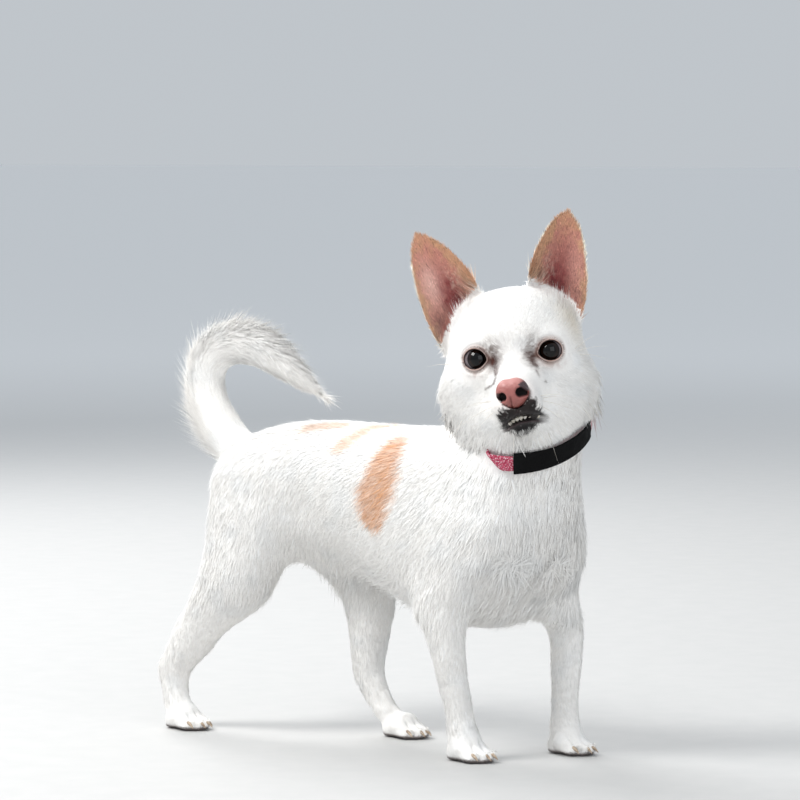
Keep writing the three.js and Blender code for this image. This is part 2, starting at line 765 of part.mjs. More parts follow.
const tailLocks = [];
for (let row = 0; row < lockRows; row += 1) {
  for (const angle of lockAngles) {
    const t = lerp(lockStart, lockEnd, (row + random() * 0.7 + (angle > 0 ? 0.2 : 0)) / lockRows);
    const place = tailPlace(t);
    const turn = radians((angle + (row % 2) * 18 - 9) * vary(0.12));
    const rise = place.out.clone().applyAxisAngle(place.lie, turn);
    const origin = place.at.clone().addScaledVector(rise, place.radius * 0.66);
    const size = Math.max(place.radius / 11, 0.72) * vary(0.14) * lerp(1, 0.86, Math.abs(Math.sin(turn)));
    tailLocks.push(lock(origin, rise, place.lie, lockLength * size, lockWidth * Math.min(size, 1)));
  }
}
for (let i = 0; i < tipLocks; i += 1) {
  const place = tailPlace(0.94);
  const rise = place.out.clone().applyAxisAngle(place.lie, radians((i - 2) * 44));
  const origin = place.at.clone().addScaledVector(rise, 1.2);
  tailLocks.push(lock(origin, rise.multiplyScalar(0.25), place.lie, 30 * vary(0.1), 6));
}
const tailWhole = union([tailShell, ...tailLocks]);

const tailCuts = {
  root: { point: vec(0, 234, 199), normal: vec(0, 0.78, 0.62) },
  high: 262,
  fore: 216,
};
const halfSeam = seam / 2;
parts.get('haunches').form = keepAhead(haunch, tailCuts.root.point, behind(tailCuts.root));
const tailOff = keepAhead(tailWhole, tailCuts.root.point, tailCuts.root.normal);
add('tail_base', tailOff.intersect(box(-60, 60, 222, 400, 150, tailCuts.high - halfSeam)), coatWhite);
const overTop = box(-60, 60, tailCuts.fore + halfSeam, 400, tailCuts.high + halfSeam, 400);
add('tail_bend', tailWhole.intersect(overTop), coatWhite);
add('tail_tip', tailWhole.intersect(box(-60, 60, 0, tailCuts.fore - halfSeam, 225, 400)), coatWhite);

// Collar: a band round the neck and a sleeve over its front left part, both sunk a little in the coat.
function neckPoint(angle, height, out) {
  const direction = collarSide.clone().multiplyScalar(Math.cos(angle));
  direction.addScaledVector(collarFront, Math.sin(angle));
  const origin = collarCentre.clone().addScaledVector(collarAxis, height);
  return origin.addScaledVector(direction, runOut(body, origin, direction, 70, 0) + out);
}

function collarRing(width, inner, outer) {
  const tube = weld(new THREE.TorusGeometry(10, 1, 6, 32));
  const spots = tube.attributes.position;
  for (let i = 0; i < spots.count; i += 1) {
    const angle = Math.atan2(spots.getY(i), spots.getX(i));
    const outside = Math.hypot(spots.getX(i), spots.getY(i)) > 10;
    const lift = Math.round(spots.getZ(i)) * (width / 2);
    const p = neckPoint(angle, lift, outside ? outer : inner);
    spots.setXYZ(i, p.x, p.y, p.z);
  }
  return solid(tube);
}

function collarArc(from, to, width, inner, outer) {
  const bar = new THREE.BoxGeometry(1, 1, 1, 14, 1, 2);
  const spots = bar.attributes.position;
  for (let i = 0; i < spots.count; i += 1) {
    const angle = radians(lerp(from, to, spots.getX(i) + 0.5));
    const p = neckPoint(angle, -spots.getZ(i) * width, spots.getY(i) > 0 ? outer : inner);
    spots.setXYZ(i, p.x, p.y, p.z);
  }
  return solid(bar);
}

const bandOut = collarThickness - collarSink;
const sleeveOut = bandOut + seam + sleeveThickness;
const band = collarRing(collarWidth, -collarSink, bandOut);
const channelWidth = collarWidth + 2 * seam;
const [sleeveFrom, sleeveTo] = sleeveArc;
const sleeveChannel = collarArc(sleeveFrom - 5, sleeveTo + 5, channelWidth, -collarSink - 3, bandOut + seam);
const sleeve = collarArc(...sleeveArc, sleeveWidth, -collarSink, sleeveOut).subtract(sleeveChannel);
const bandSeat = collarRing(channelWidth, -collarSink - seam, 8);
const seatWidth = sleeveWidth + 2 * seam;
const sleeveSeat = collarArc(sleeveFrom - 0.5, sleeveTo + 0.5, seatWidth, -collarSink - seam, 8);
parts.get('neck').form = parts.get('neck').form.subtract(bandSeat).subtract(sleeveSeat);
add('collar_band', band, '#d98f9d');
add('collar_sleeve', sleeve, '#1c1b1d');

const root = new THREE.Group();
root.name = 'chihuahua';
const meshes = [];
for (const [name, { form, colour }] of parts) {
  const coat = new THREE.MeshStandardMaterial({ color: colour, roughness: 0.8 });
  const mesh = new THREE.Mesh(geometryOf(form), coat);
  mesh.name = name;
  meshes.push(mesh);
  root.add(mesh);
}

// The origin moves to the middle of the object's footprint.
const extent = new THREE.Box3().setFromObject(root);
const middle = extent.getCenter(vec(0, 0, 0)).setZ(extent.min.z);
for (const mesh of meshes) mesh.geometry.translate(-middle.x, -middle.y, -middle.z);
root.userData.middle = middle.toArray();

export default root;
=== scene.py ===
import math

import bmesh
import bpy
import numpy as np
from mathutils import Matrix, Vector


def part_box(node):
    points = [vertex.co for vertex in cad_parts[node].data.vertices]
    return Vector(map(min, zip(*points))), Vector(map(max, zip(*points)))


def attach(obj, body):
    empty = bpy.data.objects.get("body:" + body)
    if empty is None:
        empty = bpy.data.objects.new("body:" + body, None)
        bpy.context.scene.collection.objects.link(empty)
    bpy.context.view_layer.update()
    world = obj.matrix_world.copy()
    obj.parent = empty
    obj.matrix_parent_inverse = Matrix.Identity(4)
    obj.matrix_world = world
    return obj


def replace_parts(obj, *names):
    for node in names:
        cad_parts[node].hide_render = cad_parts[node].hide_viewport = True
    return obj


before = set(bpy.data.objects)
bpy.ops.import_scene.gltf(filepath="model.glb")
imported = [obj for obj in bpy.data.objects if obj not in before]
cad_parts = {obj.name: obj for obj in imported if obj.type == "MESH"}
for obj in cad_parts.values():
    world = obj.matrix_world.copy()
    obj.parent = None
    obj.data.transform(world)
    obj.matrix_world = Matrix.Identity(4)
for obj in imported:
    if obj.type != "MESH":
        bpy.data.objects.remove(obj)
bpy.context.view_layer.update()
chance = np.random.default_rng(17)

# Places are given in millimetres in the drawing's own frame: y is 0 at the right forefoot, x is 0 in
# the middle of the body, z is 0 on the floor. The head has a frame of its own, 0 between the eyes.
head = {
    "place": (-17, -30, 277),
    "turn": -56,
    "pitch": 3,
    "roll": -7,
    "eyeSpacing": 48.8,
    "eyeDepth": -26.2,
}
photo = {
    "place": (-2362.5, -1895.1, 420),
    "azimuth": -50,
    "down": 3.314,
    "focal": 4430,  # in pixels
    "pixels": 800,
    "sensor": 36,
}

headMatrix = (
    Matrix.Translation(head["place"])
    @ Matrix.Rotation(math.radians(head["turn"]), 4, "Z")
    @ Matrix.Rotation(math.radians(-head["pitch"]), 4, "X")
    @ Matrix.Rotation(math.radians(head["roll"]), 4, "Y")
)
eyeLow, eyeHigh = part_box("eye_right")
drawnEye = headMatrix @ Vector((-head["eyeSpacing"] / 2, head["eyeDepth"], 0))
shift = np.array(drawnEye - (eyeLow + eyeHigh) * 500)  # from the frame, in mm, to the drawing
headTurned = np.array(headMatrix.to_3x3())
headOrigin = np.array(headMatrix.translation)


def fromFrame(points):
    return np.asarray(points) * 1000 + shift


def toFrame(points):
    return (np.asarray(points) - shift) / 1000


def intoHead(points):
    return (points - headOrigin) @ headTurned


def outOfHead(points):
    return np.asarray(points) @ headTurned.T + headOrigin


def turnedOut(directions):
    return np.asarray(directions) @ headTurned.T


# Small maths for many points at once.
def span(v):
    return np.linalg.norm(v, axis=-1)


def unit(v):
    return v / np.maximum(span(v)[..., None], 1e-9)


def ramp(x, low, high):
    t = np.clip((x - low) / (high - low), 0, 1)
    return t * t * (3 - 2 * t)


def fade(x, low, high):
    return 1 - ramp(x, low, high)


def mix(a, b, share):
    return a + (b - a) * share


def bell(x, width=1):
    return np.exp(-((x / width) ** 2))


def near(points, centre, radius):
    return bell(span((points - np.array(centre)) / np.array(radius)))


def pathDistance(p, path):
    best = np.full(len(p), 1e9)
    for a, b in zip(np.array(path[:-1], float), np.array(path[1:], float)):
        t = np.clip((p - a) @ (b - a) / ((b - a) @ (b - a)), 0, 1)
        best = np.minimum(best, span(p - a - t[:, None] * (b - a)))
    return best


noiseTable = chance.random((32, 32, 32))


def noise(points, size):
    p = points / size
    cell = np.floor(p).astype(int)
    f = p - cell
    f = f * f * (3 - 2 * f)
    total = np.zeros(len(points))
    for i in (0, 1):
        for j in (0, 1):
            for k in (0, 1):
                weight = (
                    np.abs(1 - i - f[:, 0]) * np.abs(1 - j - f[:, 1]) * np.abs(1 - k - f[:, 2])
                )
                a, b, c = (cell + (i, j, k)).T % 32
                total += weight * noiseTable[a, b, c]
    return total


# Shader maths: a wrapped socket adds, subtracts and multiplies like a number.
class Reading:
    def __init__(self, look, socket):
        self.look, self.socket = look, socket

    def maths(self, operation, *values):
        return self.look.node("ShaderNodeMath", {"operation": operation}, dict(enumerate(values)))

    def __add__(self, other):
        return self.maths("ADD", self, other)

    __radd__ = __add__

    def __rsub__(self, other):
        return self.maths("SUBTRACT", other, self)

    def __mul__(self, other):
        return self.maths("MULTIPLY", self, other)

    __rmul__ = __mul__

    def above(self, low, high):
        settings = {"interpolation_type": "SMOOTHSTEP"}
        return self.look.node("ShaderNodeMapRange", settings, {0: self, 1: low, 2: high})


class Look:
    def __init__(self, name):
        self.material = bpy.data.materials.new(name)
        self.material.use_nodes = True
        self.tree = self.material.node_tree
        self.tree.nodes.clear()
        self.output = self.tree.nodes.new("ShaderNodeOutputMaterial")

    def node(self, kind, settings=None, values=None, out=0):
        made = self.tree.nodes.new(kind)
        for key, value in (settings or {}).items():
            setattr(made, key, value)
        for key, value in (values or {}).items():
            socket = made.inputs[key]
            if isinstance(value, Reading):
                self.tree.links.new(value.socket, socket)
            else:
                socket.default_value = value
        return Reading(self, made.outputs[out])

    def objectPlace(self):
        return self.node("ShaderNodeTexCoord", out="Object")

    def noise(self, scale, detail=3, vector=None, roughness=0.55, kind="ShaderNodeTexNoise"):
        values = {"Vector": vector or self.objectPlace(), "Scale": scale}
        if kind == "ShaderNodeTexNoise":
            values |= {"Detail": detail, "Roughness": roughness}
        return self.node(kind, None, values)

    def blend(self, share, first, second, kind="MIX"):
        settings = {"data_type": "RGBA", "blend_type": kind}
        padded = [c if isinstance(c, Reading) else (*c, 1) for c in (first, second)]
        return self.node("ShaderNodeMix", settings, {0: share, 6: padded[0], 7: padded[1]}, 2)

    def attribute(self, name, channel="Color"):
        return self.node("ShaderNodeAttribute", {"attribute_name": name}, out=channel)

    def bump(self, height, strength, distance):
        values = {"Height": height, "Strength": strength, "Distance": distance}
        return self.node("ShaderNodeBump", None, values)

    def finish(self, **sockets):
        values = {key.replace("_", " "): value for key, value in sockets.items()}
        surface = self.node("ShaderNodeBsdfPrincipled", None, values)
        self.tree.links.new(surface.socket, self.output.inputs[0])
        return self.material


# Meshes from arrays, for the skin and the many hairs.
def meshOf(name, points, triangles):
    mesh = bpy.data.meshes.new(name)
    mesh.vertices.add(len(points))
    mesh.vertices.foreach_set("co", toFrame(points).astype(np.float32).ravel())
    mesh.loops.add(3 * len(triangles))
    mesh.loops.foreach_set("vertex_index", np.asarray(triangles, np.int32).ravel())
    mesh.polygons.add(len(triangles))
    mesh.polygons.foreach_set("loop_start", np.arange(0, 3 * len(triangles), 3, dtype=np.int32))
    mesh.update(calc_edges=True)
    mesh.shade_smooth()
    return mesh


def meshFrom(bm, name):
    mesh = bpy.data.meshes.new(name)
    bm.to_mesh(mesh)
    bm.free()
    return mesh


def listed(items, field, wide, kind=float):
    found = np.empty(len(items) * wide, kind)
    items.foreach_get(field, found)
    return found.reshape(-1, wide)


def pointsOf(mesh):
    return listed(mesh.vertices, "co", 3)


def normalsOf(mesh):
    return listed(mesh.vertex_normals, "vector", 3)


def edgesOf(mesh):
    return listed(mesh.edges, "vertices", 2, np.int32)


def placesOf(mesh):
    return fromFrame(pointsOf(mesh))


def setPlaces(mesh, places):
    mesh.vertices.foreach_set("co", toFrame(places).astype(np.float32).ravel())
    mesh.update()


def setColour(mesh, name, colour):
    layer = mesh.color_attributes.new(name, "FLOAT_COLOR", "POINT")
    padded = np.ones((len(colour), 4), np.float32)
    padded[:, :3] = colour
    layer.data.foreach_set("color", padded.ravel())


def setShare(mesh, name, values):
    layer = mesh.attributes.new(name, "FLOAT", "POINT")
    layer.data.foreach_set("value", values.astype(np.float32))


def put(name, data):
    made = bpy.data.objects.new(name, data)
    bpy.context.scene.collection.objects.link(made)
    return made


def link(name, mesh, material):
    made = put(name, mesh)
    mesh.materials.clear()
    mesh.materials.append(material)
    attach(made, "root")
    return made


def baked(piece):
    bpy.context.view_layer.update()
    seen = piece.evaluated_get(bpy.context.evaluated_depsgraph_get())
    mesh = bpy.data.meshes.new_from_object(seen)
    bpy.data.objects.remove(piece)
    return mesh


tail = {
    "path": [
        (0, 213, 181), (0, 228, 191), (0, 244, 204), (0, 261, 221), (0, 271, 239), (0, 273, 253),
        (0, 268, 266), (0, 254, 276), (0, 235, 280), (0, 214, 275.5), (0, 195, 264.5), (0, 178.5, 254),
        (0, 165, 247), (0, 154, 240),
    ],
    "radius": [16.5, 17, 16.8, 16, 15, 14.4, 14.6, 15.6, 16, 15, 12.4, 8.8, 5, 1.6],
    "inset": [0, 0.5, 0.5, 0.6, 1.2, 1.6, 2, 2.6, 3, 2.6, 2, 1.5, 1, 0.5],
}


def outOfCurl(lie):
    return np.stack([0 * lie[:, 0], lie[:, 2], -lie[:, 1]], 1)


tailDrawn = np.array(tail["path"], float)
tailLie = unit(np.gradient(tailDrawn, axis=0))
tailOut = outOfCurl(tailLie)
tailPath = tailDrawn - tailOut * np.array(tail["inset"])[:, None]
tailSteps = np.linspace(0, len(tailPath) - 1, 8 * len(tailPath) - 7)
tailFine = np.stack([np.interp(tailSteps, range(len(tailPath)), tailPath[:, i]) for i in range(3)], 1)
for _ in range(12):
    tailFine[1:-1] = (tailFine[:-2] + 2 * tailFine[1:-1] + tailFine[2:]) / 4
tailFineLie = unit(np.gradient(tailFine, axis=0))

# The skin: every node of flesh, grown until they meet, made one and smoothed.
flesh = {
    "nodes": [
        "head", "ear_right", "ear_left", "neck", "chest", "loin", "haunches",
        "foreleg_right", "foreleg_left", "hindleg_right", "hindleg_left",
        "forepaw_right", "forepaw_left", "hindpaw_right", "hindpaw_left",
        "tail_base", "tail_bend", "tail_tip",
    ],
    "grow": 0.45,
    "voxel": 1.15,
    "kept": 0.3,
    "tailSteps": 6,
    "rounds": {"even": 5, "soft": 50, "under": 22, "earRoot": 40},
}


def gatherFlesh():
    bm = bmesh.new()
    for node in flesh["nodes"]:
        if not node.startswith("tail"):
            bm.from_mesh(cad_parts[node].data)
    bmesh.ops.remove_doubles(bm, verts=bm.verts, dist=0.00002)
    bm.normal_update()
    for vert in bm.verts:
        vert.co += vert.normal * flesh["grow"] / 1000
    steps = (len(tailPath) - 1) * flesh["tailSteps"]
    for i in range(steps + 1):  # the tail's own core, a row of balls inside the solid one
        along = i / flesh["tailSteps"]
        rows = np.arange(len(tailPath))
        centre = [np.interp(along, rows, tailPath[:, k]) for k in range(3)]
        radius = np.interp(along, rows, tail["radius"]) / 1000
        place = Matrix.Translation(toFrame(centre))
        bmesh.ops.create_icosphere(bm, subdivisions=3, radius=radius, matrix=place)
    made = put("gathered", meshFrom(bm, "gathered"))
    remesh = made.modifiers.new("one", "REMESH")
    remesh.mode = "VOXEL"
    remesh.voxel_size = flesh["voxel"] / 1000
    return baked(made)


def largestPart(mesh):
    a, b = edgesOf(mesh).T
    owner, before = np.arange(len(mesh.vertices)), None
    while not np.array_equal(owner, before):
        before = owner.copy()
        low = np.minimum(owner[a], owner[b])
        for ends in (a, b, owner[a], owner[b]):
            np.minimum.at(owner, ends, low)
        owner = owner[owner]
    names, sizes = np.unique(owner, return_counts=True)
    bm = bmesh.new()
    bm.from_mesh(mesh)
    bm.verts.ensure_lookup_table()
    loose = np.flatnonzero(owner != names[sizes.argmax()])
    bmesh.ops.delete(bm, geom=[bm.verts[k] for k in loose], context="VERTS")
    bm.to_mesh(mesh)
    bm.free()
    print("skin parts", len(sizes), "kept", sizes.max())


def relax(points, edges, weight, rounds):
    a, b = edges.T
    count = np.bincount(edges.ravel(), minlength=len(points))[:, None]
    for _ in range(rounds):
        total = np.empty_like(points)
        for axis in range(3):
            total[:, axis] = np.bincount(a, points[b, axis], len(points))
            total[:, axis] += np.bincount(b, points[a, axis], len(points))
        points = points + (total / count - points) * weight[:, None]
    return points


skinMesh = gatherFlesh()
print("remeshed", len(skinMesh.vertices))
largestPart(skinMesh)

collar = {
    "centre": (-6, -33, 228),
    "axis": (-0.47, -0.24, 0.85),
    "hidden": 0.75,  # from this share on the coat covers the band
    "bare": (-5.5, 9),  # no tuft grows at these rises where the band shows
    "nearSleeve": (8, 34),  # and at these they end short of the sleeve
}
collarAxis = unit(np.array(collar["axis"]))
collarSide = unit(np.array((1, 0, 0)) - collarAxis * collarAxis[0])
collarFront = np.cross(collarAxis, collarSide)


def collarPlace(p):  # angle round the neck, rise along it, and radius
    off = p - np.array(collar["centre"])
    angle = np.degrees(np.arctan2(off @ collarFront, off @ collarSide))
    rise = off @ collarAxis
    return angle, rise, span(off - rise[:, None] * collarAxis)


def fromEye(q, s):
    return q - (s * head["eyeSpacing"] / 2, head["eyeDepth"], 0)


# Which part of the animal a point belongs to, each from 0 to 1.
def partsOf(p):
    _, y, z = p.T
    q = intoHead(p)
    rise = collarPlace(p)[1]
    inHead = ramp(rise, 4, 14) * (y < 90)
    skull = (span((q - (0, 6, 9)) / (46, 42, 38)) - 1) * 38
    inEar = inHead * ramp(skull, 2.5, 6) * ramp(q[:, 2], 7, 14)
    inEar = inEar * ramp(np.abs(q[:, 0]), 10, 14) * ramp(q[:, 1], -19, -12)
    eyes = np.maximum(*(fade(span(fromEye(q, s)), 12.5, 17) for s in (-1, 1)))
    mouth = inHead * near(q, (0, -54, -43), (20, 17, 12))
    pastRoot = (p - (0, 234, 199)) @ np.array((0, 0.78, 0.62))
    inTail = np.maximum(ramp(pastRoot, -4, 6), ramp(z, 233, 237)) * (y > 120)
    inLeg = fade(z, 78, 108) * (1 - inTail)
    inPaw = fade(z, 17, 25)
    return {
        "head": inHead, "ear": inEar, "eyes": eyes, "mouth": mouth, "tail": inTail,
        "leg": inLeg, "paw": inPaw, "q": q,
    }


def thinOut(mesh, careful):
    made = put("thinned", mesh)
    group = made.vertex_groups.new(name="free")
    share = np.round((1 - careful) * 4) / 4
    for level in np.unique(share):
        group.add(np.flatnonzero(share == level).tolist(), float(level), "REPLACE")
    fewer = made.modifiers.new("fewer", "DECIMATE")
    fewer.ratio = flesh["kept"]
    fewer.vertex_group = "free"
    fewer.vertex_group_factor = 1
    fewer.use_collapse_triangulate = True
    return baked(made)


parts = partsOf(placesOf(skinMesh))
careful = parts["head"] * 0.75 + parts["ear"] + parts["eyes"] + parts["mouth"] + parts["paw"] * 0.5
careful = np.clip(careful, 0, 1)
skinMesh = thinOut(skinMesh, careful)
p = placesOf(skinMesh)
parts = partsOf(p)
print("thinned", len(skinMesh.polygons), "head", int((parts["head"] > 0.5).sum()))

edges = edgesOf(skinMesh)
guarded = np.clip(parts["eyes"] + parts["mouth"] + parts["ear"] * 0.6, 0, 1)
p = relax(p, edges, 0.5 * (1 - 0.55 * guarded), flesh["rounds"]["even"])
free = 1 - guarded
for part, held in (("paw", 0.93), ("head", 0.5), ("leg", 0.4)):
    free *= 1 - held * parts[part]
p = relax(p, edges, 0.5 * free, flesh["rounds"]["soft"])

# The coat's depth, which the skin lies under.
depth = {
    "body": 3.4, "neck": 4.0, "leg": 1.4, "head": 1.9, "face": 0.8, "ear": 0.3, "tail": 1.2, "paw": 0.9,
}


def coatDepth(p, parts):
    face = near(parts["q"], (0, -50, -25), (24, 26, 26)) * 1.6 + parts["eyes"]
    shares = parts | {"neck": fade(p[:, 1], -20, 20), "face": parts["head"] * np.clip(face, 0, 1)}
    found = depth["body"]
    for part in ("neck", "leg", "head", "face", "ear", "tail", "paw"):
        found = mix(found, depth[part], shares[part])
    return found


setPlaces(skinMesh, p)
inset = np.repeat(coatDepth(p, parts)[:, None], 3, 1)
inset = relax(inset, edges, np.full(len(p), 0.5), flesh["rounds"]["under"])
p = p - normalsOf(skinMesh) * inset
setPlaces(skinMesh, p)


# Finer faces round the eyes, nose and mouth, for the lids and the lips.
def refineFace(mesh):
    bm = bmesh.new()
    bm.from_mesh(mesh)
    q = intoHead(placesOf(mesh))
    wanted = np.zeros(len(q), bool)
    for s in (-1, 1):
        wanted |= span(q - (s * 23.5, -27, -1)) < 17
    wanted |= span((q - (1, -56, -38)) / (1.25, 1.3, 1)) < 19
    bm.edges.ensure_lookup_table()
    chosen = [e for e in bm.edges if wanted[e.verts[0].index] and wanted[e.verts[1].index]]
    bmesh.ops.subdivide_edges(bm, edges=chosen, cuts=1, use_grid_fill=True)
    bmesh.ops.triangulate(bm, faces=bm.faces)
    bm.to_mesh(mesh)
    bm.free()


lids = {
    "halfWidth": 7.3, "upper": 6.6, "lower": 6.3, "turn": 9,
    "rim": 0.6, "crease": 0.7, "corner": 1.2,
}
lips = {
    "x": [-20, -16, -12, -8, -4, 0, 4, 8, 12, 16, 20, 24],
    "upper": [-48.5, -48, -47.2, -45.6, -43.2, -41.4, -40.6, -40.6, -41.4, -43, -44.6, -46],
    "gap": [0.3, 0.6, 1.4, 2.4, 3.2, 3.6, 3.8, 3.7, 3.2, 2.2, 1.0, 0.4],
    "depth": 4.2, "roll": 0.9, "philtrum": 0.9,
}


def eyePolar(q, s):
    across, deep, z = fromEye(q, s).T
    a = math.radians(-s * lids["turn"])
    x = across * math.cos(a) - deep * math.sin(a)
    y = across * math.sin(a) + deep * math.cos(a)
    high = np.where(z > 0, lids["upper"], lids["lower"])
    inner = np.where(x * s < 0, 1 + 0.13 * bell(z + 1.5, 2.6), 1)
    edge = np.hypot(x / (lids["halfWidth"] * inner), z / high)
    size = np.hypot(x, z)
    return size - size / np.maximum(edge, 1e-6), x * s, z, y


def lipPlaces(q):
    x = q[:, 0]
    upper = np.interp(x, lips["x"], lips["upper"])
    gap = np.interp(x, lips["x"], lips["gap"])
    below = upper - q[:, 2]  # how far under the upper lip's edge
    front = ramp(-q[:, 1], 30, 42) * fade(np.abs(x - 3.5), 14, 19)
    return below, gap, front


faceForms = [  # the muzzle's pads, the hollow before the cheek, and the brow
    ((9.5, -55, -34), (6, 8, 6), 1.2), ((25, -36, -25), (6, 12, 11), -2.2),
    ((20, -30, 11.5), (8, 10, 4), 1.0),
]


def shapeFace(p, normals):
    q = intoHead(p)
    move = np.zeros_like(q)
    outward = normals @ headTurned
    for s in (-1, 1):
        off, x, z, y = eyePolar(q, s)
        close = (span(fromEye(q, s)) < 19) * ramp(-y, 0, 4)
        rim = bell(off - 1.0, 0.9) * lids["rim"]
        crease = bell(off - 3.2) * lids["crease"] * (1 + 0.6 * (z > 0))
        corner = np.exp(-(((x + 11) / 2.2) ** 2) - (((z + 3) / 2.2) ** 2)) * lids["corner"]
        move += outward * ((rim - crease - corner) * close)[:, None]
    below, gap, front = lipPlaces(q)
    inside = ramp(below, -0.7, 0.5) * fade(below - gap, -0.5, 0.7)
    move[:, 1] += inside * front * lips["depth"]
    roll = bell(below + 1.6, 1.1) + bell(below - gap - 1.7, 1.2)
    move += outward * (roll * front * lips["roll"] * (1 - inside))[:, None]
    groove = bell(q[:, 0] - 1, 0.8) * ramp(-q[:, 2], 33, 36) * fade(below, -1, 0.5)
    move[:, 1] += groove * front * lips["philtrum"]
    for (x, y, z), reach, high in faceForms:
        for s in (-1, 1):
            move += outward * near(q, (s * x, y, z), reach)[:, None] * high
    return p + turnedOut(move)


ears = {
    -1: {"base": (-38, 4, 31), "tip": (-60.5, 12, 92), "half": 19},
    1: {"base": (31.5, 4, 32), "tip": (46.5, 12, 95), "half": 18},
}


def earPlaces(q, normals):
    outward = normals @ headTurned
    side = np.where(q[:, 0] < -4, -1, 1)
    along, across = np.zeros(len(q)), np.zeros(len(q))
    facing = np.zeros(len(q))
    lie = np.zeros_like(q)
    for s, ear in ears.items():
        base, tip = np.array(ear["base"], float), np.array(ear["tip"], float)
        axis = unit(tip - base)
        wide = unit(np.cross(axis, (0, 1, 0))) * s
        rear = unit(np.array((-0.25 * s, 1, -0.1)))
        mine = side == s
        t = (q - base) @ axis / np.linalg.norm(tip - base)
        u = (q - base) @ wide / (ear["half"] * np.clip(1.12 - 0.85 * np.clip(t, 0, 1) ** 1.6, 0.2, 1.1))
        along[mine], across[mine] = t[mine], u[mine]
        facing[mine] = -(outward @ rear)[mine]
        lie[mine] = (axis + wide * 0.22 * np.clip(u, -1, 1)[:, None])[mine]
    return along, across, facing, lie


forms = [  # place, reach and move outward of the swellings and hollows, mirrored where marked
    ((-2, -42, 133), (32, 14, 5), 1.4, False), ((-43, 148, 163), (18, 16, 18), -3.2, True),
    ((-50, 27, 101), (8, 9, 9), 2.4, False), ((50, -3, 101), (8, 9, 9), 2.2, False),
    ((-52, 0, 140), (12, 16, 18), 1.4, True), ((-46, 205, 140), (14, 22, 24), 1.6, True),
]
creases = [  # path, depth and width
    ([(-40, -12, 122), (-36, -8, 108), (-32, -2, 95)], 3.2, 4),
    ([(20, -33, 116), (19, -28, 104), (21, -20, 94)], 3.2, 4),
    ([(-54, 25, 172), (-53, 28, 150), (-52, 31, 128)], 1.6, 6),
    ([(54, 18, 172), (53, 20, 150), (52, 18, 128)], 1.6, 6),
]
paws = [(-36, -2), (37, -32), (-36, 260), (29, 110)]
toes = {"across": 6.0, "fan": 0.06, "groove": 1.7}
brisket = {"place": (3, -32, 105), "reach": (26, 24, 15), "hollow": 6.5}


def shapeBody(p, normals):
    move = np.zeros(len(p))
    for place, reach, high, both in forms:
        for s in ((1, -1) if both else (1,)):
            move += near(p, np.array(place) * (s, 1, 1), reach) * high
    for path, deep, wide in creases:
        move -= bell(pathDistance(p, path), wide) * deep
    px, py, pz = p.T
    for x, y in paws:
        ahead = ramp(y - 5 - py, 0, 8) * fade(pz, 11, 17) * (np.abs(px - x) < 14)
        for k in (-1, 0, 1):
            fan = x + k * toes["across"] + k * toes["fan"] * (y - py)
            move -= bell(px - fan) * ahead * toes["groove"] * ramp(pz, 0.5, 3)
    p = p + normals * move[:, None]
    p[:, 1] += near(p, brisket["place"], brisket["reach"]) * brisket["hollow"]
    return p


p = shapeBody(p, normalsOf(skinMesh))
q = intoHead(p)
setPlaces(skinMesh, p)
along = earPlaces(q, normalsOf(skinMesh))[0]
join = np.maximum(near(q, (36, 2, 24), (20, 22, 17)), near(q, (-38, 2, 22), (20, 22, 17)))
p = relax(p, edges, 0.5 * join * fade(along, 0.02, 0.2), flesh["rounds"]["earRoot"])
setPlaces(skinMesh, p)
refineFace(skinMesh)
p = placesOf(skinMesh)
p = relax(p, edgesOf(skinMesh), 0.4 * (1 - 0.8 * partsOf(p)["ear"]), 1)
setPlaces(skinMesh, p)
p = shapeFace(p, normalsOf(skinMesh))
setPlaces(skinMesh, p)
print("skin", len(skinMesh.vertices), "vertices", len(skinMesh.polygons), "faces")


# Colours of coat and skin, worked out for points and shared by both.
def colour(code):
    values = np.array([int(code[i:i + 2], 16) for i in (0, 2, 4)]) / 255
    return np.where(values <= 0.04045, values / 12.92, ((values + 0.055) / 1.055) ** 2.4)


tones = {
    "white": "faf8f5", "cool": "eff0f0", "fawn": "dd9d64", "paleFawn": "e9c3a4",
    # the ears' pale pink tone is a painted highlight
    "cream": "f6ead6", "earTan": "bd8f6c", "earPink": "bb7c6e", "earHighlight": "e0b3a7",
    "earDeep": "7a1d24", "lid": "c79f90", "lidShade": "a58377", "liner": "1c100e",
    # the pink lip tone also paints a sheen on the lower lip
    "tear": "48241a", "tick": "5e463a", "lip": "0c0506", "pinkLipAndSheen": "4a2f33",
    # the mouth tone is dark gums with painted shade
    "mouth": "140909", "pad": "4a3a38",
}
patch = {
    "z": [149, 156, 165, 175, 185, 197, 207, 215, 220],
    "y": [68, 70, 71, 70, 68, 66, 66, 66.5, 67],
    "half": [3, 10, 15, 17.5, 18, 15.5, 12, 8, 3],
}
tears = {
    -1: [[(-11.5, -5), (-10.9, -9.8), (-13.9, -18), (-20.7, -20.9)], [(-13, -7), (-12.2, -14)]],
    1: [[(12.5, -5), (13.9, -9), (16.4, -15), (20.3, -20.7)], [(15, -8), (18.5, -14)]],
}
streaks = [
    [(-33, 114, 210), (-25, 108, 216), (-13, 104, 221), (-2, 92, 223)],
    [(-17, 158, 218), (-13, 144, 221), (-11, 130, 222)],
]


def painted(base, *layers):
    found = colour(tones.get(base, base)) if isinstance(base, str) else base
    for tone, share in layers:
        found = mix(found, colour(tones.get(tone, tone)), np.clip(share, 0, 1)[:, None])
    return found


def whiteOnEar(u):
    return np.interp(u, (-1, -0.4, 0.2, 1), (-0.2, -0.12, 0.04, 0.24))


